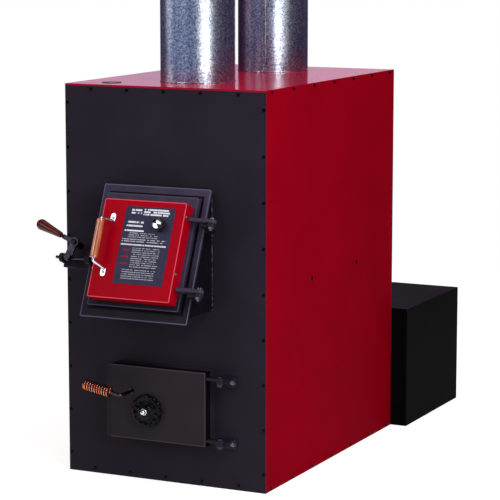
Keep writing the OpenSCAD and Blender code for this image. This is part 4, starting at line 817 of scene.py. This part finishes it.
def pull_bail():
    """Chrome bail: a rod bent at two corners, whose feet run on to two round-ended tabs that lie on the
    cover. The model's own screws hold them."""
    foot_x, foot_out, tab_face = -80, 62.1, cover_face + 0.02
    corners = [(foot_x, foot_out, 119.5), (pull_x, pull_out, 130.5), (pull_x, pull_out, 248.5),
               (foot_x, foot_out, 248.5)]
    side = np.cross(on_slant(np.array(corners[1])) - on_slant(np.array(corners[0])), slant_up)
    parts = [(tube(on_slant(rounded(corners, (7, 5), 10)), 3.98, side), False)]
    for up in (110.5, 257.5):
        outline = round_outline(foot_x, up, 14, 24, 6.9)
        parts.append((slab(outline, tab_face, tab_face + 2.88), False))
    make("pull_bail_chrome", parts, bright_plate, "feed_door", ("pull_bail",))


def pull_grip():
    """Turned grip: straight barrel with eased ends and a bore, turned about the bail."""
    low, high, radius, eased, end, bore = 137.5, 243.4, 10.45, 9.9, 7.6, 4.1
    profile = rounded([(bore, low), (end, low), (eased, low + 1.2), (radius, low + 5),
                       (radius, high - 5), (eased, high - 1.2), (end, high), (bore, high)], 1.6)
    centre = on_slant(np.array([pull_x, pull_out, 0.0]))
    make("pull_grip_wood", [(turned(profile, centre, slant_up, (1, 0, 0)), True)], wood, "pull_grip",
         ("pull_grip",), 40, 0.066)


pull_bail()
pull_grip()


# Air knob

knob_centre = on_slant(np.array([63.5, 0.0, 244.0]))


def air_knob():
    """Round knob with a rim about its face, turned about its shaft."""
    bore, side, foot, seat, face = 4.0, 15.9, 16.4, 82.4, 84.2
    profile = rounded([(bore, 59.4), (foot, 59.4), (foot, 63), (side, 64), (side, 81.5), (14.8, face),
                       (13.6, face), (13.5, seat), (bore, seat)], 0.7)
    make("air_knob_moulding", [(turned(profile, knob_centre, slant_out, (1, 0, 0), 192), True)],
         knob_black, "air_knob", ("air_knob",), 30, 0.1)


def knob_insert():
    """Spun metal disc in the knob's face, dished a little at its middle."""
    profile = [(0, 82.35), (13.3, 82.35), (13.35, 82.6), (13.2, 83.5), (12.7, 83.68), (6.0, 83.4),
               (0, 83.3)]
    make("knob_insert_spun", [(turned(profile, knob_centre, slant_out, (1, 0, 0), 96), False)], spun,
         "air_knob", ("knob_insert",), 50, insert_map)


air_knob()
knob_insert()


# Feed door lever

def lever_grip():
    """Tapered grip: a profile that swells from its neck to a round end, turned about the lever's rod.
    The swell grows with the power 1.15 of the way along, and the cap is a quarter of an ellipse. A
    blind bore takes the rod."""
    way, bore, deep = math.radians(159), 4.1, 88.0
    low, long, neck, grown = 46.2, 85.6, 8.1, 6.9
    axis = unit(on_slant(np.array([math.cos(way), 0, math.sin(way)])) - on_slant(np.zeros(3)))
    centre = on_slant(np.array([-196.0, 37.0, 189.0]))
    s = np.linspace(0, 1, 28)
    swell = neck + grown * np.clip(s / 0.8, 0, 1) ** 1.15
    cap = np.sqrt(np.clip(1 - np.clip((s - 0.82) / 0.18, 0, 1) ** 2, 0, 1))
    outside = np.stack([swell * cap, low + long * s], axis=-1)
    inside = [[0, deep], [bore, deep], [bore, low + 0.4], [6.8, low - 0.2]]
    profile = np.concatenate([inside, outside[1:]])
    make("lever_grip_dipped", [(turned(profile, centre, axis, np.cross(axis, slant_out), 48), False)],
         red_grip, "latch_lever", ("lever_grip",), 40, 0.08)


lever_grip()


# Ash door latch handle

rod_x, rod_z, handle_y, handle_lean = -71.0, 255.0, -559.0, math.radians(11)
handle_way = np.array([-math.cos(handle_lean), 0.0, math.sin(handle_lean)])


def coil_grip():
    """Cooling coil: a wire of round section on a helix about the handle. Its radius falls to the rod's
    over the first and last three tenths of a turn, so that each end grips the rod."""
    turns, steps, ease = 11, 40, 0.3
    wire, outside, on_rod = 1.45, 14.9, 6.7
    low, long = 28.0, 85.5
    t = np.linspace(0, turns, turns * steps + 1)
    near = np.clip(np.minimum(t, turns - t) / ease, 0, 1)
    swing = near * near * (3 - 2 * near)
    radius = on_rod + (outside - wire - on_rod) * swing
    along = low + wire + (long - 2 * wire) * t / turns
    side = np.array([0.0, -1.0, 0.0])
    a = 2 * np.pi * t[:, None]
    out = np.cos(a) * side + np.sin(a) * np.cross(handle_way, side)
    path = np.array([rod_x, handle_y, rod_z]) + along[:, None] * handle_way + radius[:, None] * out
    up = np.cross(unit(np.gradient(path, axis=0)), out)
    b = np.linspace(0, 2 * np.pi, 14, endpoint=False)[None, :, None]
    section = np.cos(b) * out[:, None, :] + np.sin(b) * up[:, None, :]
    rings = path[:, None, :] + wire * 0.99 * section
    make("coil_grip_wire", [(drawn_in(path, rings), False)], copper, "ash_latch", ("coil_grip",),
         60, wire_map)


coil_grip()


# Draft wheel

wheel_x, wheel_z = -20.0, 208.0


def draft_wheel():
    """Lobed handwheel: a domed profile turned about its bolt. Its rim is scalloped into lobes, by
    drawing the radius in between them where it is large, and a ring of shallow cups lies inside the
    rim: each is a bell curve of the radius times a cosine of the angle."""
    lobes, scallop, cup_ring, cup_deep = 12, 0.12, 31, 1.8
    a = np.linspace(0, 2 * np.pi, 360, endpoint=False)
    profile = rounded([(5.3, 0.2), (41, 0.2), (44.5, 4), (45.9, 8), (45.4, 12), (43, 15), (38.5, 17.3),
                       (33, 17.2), (29, 15.6), (23, 16.4), (19, 18.6), (16, 21.5), (14.4, 25.4),
                       (5.3, 25.4)], 2.5, 4)
    across, high = profile[:, 0][:, None], profile[:, 1][:, None]
    rim = np.clip((across - 34) / 10, 0, 1)
    wave = (np.abs(np.cos(lobes * a / 2)) ** 0.7)[None, :]
    radius = across * (1 - rim * scallop * (1 - wave))
    cup = np.exp(-((across - cup_ring) / 5.5) ** 2) * (0.5 + 0.5 * np.cos(lobes * a))[None, :]
    height = high - np.where(high > 10, cup_deep * cup, 0)
    grid = np.stack([wheel_x + radius * np.cos(a), ash_door_front - 0.5 - height,
                     wheel_z + radius * np.sin(a)], axis=-1)
    make("draft_wheel_moulding", [(grid, True)], wheel_black, "draft_wheel", ("draft_wheel",),
         50, 0.28)


draft_wheel()


# Floor, background and light

def seen_or_mirrored(rays, math_node):
    """1 for rays that the eye or a mirror sends, and 0 for light that is scattered."""
    mirrored = math_node("MAXIMUM", rays["Is Glossy Ray"], rays["Is Transmission Ray"])
    return math_node("MAXIMUM", rays["Is Camera Ray"], mirrored)


def floor_white(base, shine):
    """Floor that is white to the eye and in reflections, and takes a soft shadow under the object."""
    f = Finish("floor_white", (base, base, base, 1.0), 0.9, Specular_IOR_Level=0.0)
    direct = seen_or_mirrored(f.node("LightPath").outputs, f.math)
    glow = f.node("Emission", {0: (1, 1, 1, 1), 1: f.times(direct, shine)})
    both = f.node("AddShader", {0: f.shader.outputs[0], 1: glow.outputs[0]})
    f.tree.links.new(both.outputs[0], f.tree.nodes["Material Output"].inputs["Surface"])
    return f.material


def floor():
    """Round floor: rings about the object, each radius times the cosine and sine of equal steps."""
    rings = np.linspace(0, 3.2, 17)[:, None]
    a = np.linspace(0, 2 * np.pi, 64, endpoint=False)[None, :]
    grid = np.stack([rings * np.cos(a), rings * np.sin(a) + 0.2, 0 * rings * a - 0.0005], axis=-1)
    mesh = bpy.data.meshes.new("floor")
    rows, columns = grid.shape[:2]
    r, c = np.arange(rows - 1)[:, None], np.arange(columns)[None, :]
    n = (c + 1) % columns
    faces = np.stack([r * columns + c, (r + 1) * columns + c, (r + 1) * columns + n,
                      r * columns + n], axis=-1).reshape(-1, 4)
    mesh.from_pydata(grid.reshape(-1, 3), [], faces)
    mesh.materials.append(floor_white(0.6, 0.72))
    piece = bpy.data.objects.new("floor", mesh)
    bpy.context.scene.collection.objects.link(piece)


def room_light(soft_strength):
    """World: white to the eye, and an even soft light. In reflections the white lies behind the object
    and low down, and the rest of the studio is dim."""
    world = bpy.data.worlds.new("studio")
    bpy.context.scene.world = world
    world.use_nodes = True
    tree = world.node_tree
    tree.nodes.clear()
    white, rosy = (1, 1, 1, 1), (0.66, 0.5, 0.7, 1)
    dim, bluish = (0.048, 0.034, 0.075, 1), (0.14, 0.2, 0.36, 1)
    way = add_node(tree, "TexCoord").outputs["Generated"]
    rays = add_node(tree, "LightPath").outputs

    def value(operation, first, second):
        return add_node(tree, "Math", {0: first, 1: second}, operation=operation).outputs[0]

    def towards(x, y, z, low, high):
        aim = unit(np.array([x, y, z])).tolist()
        dot = add_node(tree, "VectorMath", {0: way, 1: aim}, operation="DOT_PRODUCT").outputs["Value"]
        return add_node(tree, "MapRange", {0: dot, 1: low, 2: high}).outputs[0]

    def mixed(factor, first, second):
        return add_node(tree, "Mix", {0: factor, 6: first, 7: second}, data_type="RGBA").outputs[2]

    left = value("MULTIPLY", towards(-0.35, -0.94, -0.1, 0.35, 0.85), towards(0, 0, -1, -0.35, -0.05))
    strip = value("MULTIPLY", towards(0.766, -0.643, -0.12, 0.915, 0.950),
                  towards(0, 0, -1, -0.02, 0.05))
    behind = towards(-0.44, 0.89, 0.12, 0.955, 0.975)
    mirrored = mixed(behind, mixed(strip, mixed(left, dim, bluish), white), rosy)
    seen = mixed(rays["Is Camera Ray"], mirrored, white)
    direct = add_node(tree, "Background", {0: seen, 1: 1.0}).outputs[0]
    soft = add_node(tree, "Background", {0: white, 1: soft_strength}).outputs[0]
    both = add_node(tree, "MixShader", {0: seen_or_mirrored(rays, value), 1: soft, 2: direct})
    add_node(tree, "OutputWorld", {0: both.outputs[0]})


def soft_box(name, place, aim, width, height, radiance):
    """Rectangular lamp that faces a point. Its power is radiance times pi times its area."""
    lamp = bpy.data.lights.new(name, "AREA")
    lamp.shape = "RECTANGLE"
    lamp.size, lamp.size_y = width, height
    lamp.energy = radiance * math.pi * width * height
    holder = bpy.data.objects.new(name, lamp)
    bpy.context.scene.collection.objects.link(holder)
    toward = unit(np.array(aim, float) - np.array(place, float))
    right = unit(np.cross(toward, (0.001, 0, 1.0)))
    matrix = np.eye(4)
    matrix[:3, :] = np.stack([right, np.cross(right, toward), -toward, place], axis=-1)
    holder.matrix_world = Matrix(matrix.tolist())


floor()
room_light(0.38)
for lamp in (("key_light", (2.2, -1.65, 2.9), (0, 0, 0.8), 1.7, 1.3, 8.2),
             ("strip_light", (1.75, -1.65, 0.88), (0, -0.1, 0.95), 0.85, 0.9, 4.6),
             ("front_light", (-1.7, -4.2, 2.7), (0, 0, 0.6), 1.9, 1.5, 3.2),
             ("left_light", (-3.6, -1.6, 1.9), (0, 0, 0.7), 1.6, 1.8, 1.2),
             ("top_light", (0.1, 0.1, 4.2), (0, 0, 0.6), 2.2, 2.2, 1.0),
             ("rear_light", (-1.2, 4.4, 2.6), (0, 0, 0.6), 2.2, 1.6, 1.0)):
    soft_box(*lamp)


# Camera

eye = bpy.data.cameras.new("camera")
eye.lens = 154.75
eye.sensor_width = 36.0
eye.clip_end = 50.0
camera = bpy.data.objects.new("camera", eye)
bpy.context.scene.collection.objects.link(camera)
camera.location = (2.667, -5.445, 1.510)
camera.rotation_euler = (math.radians(81.22), 0.0, math.radians(25.74))
bpy.context.scene.camera = camera
bpy.context.scene.view_settings.view_transform = "Standard"
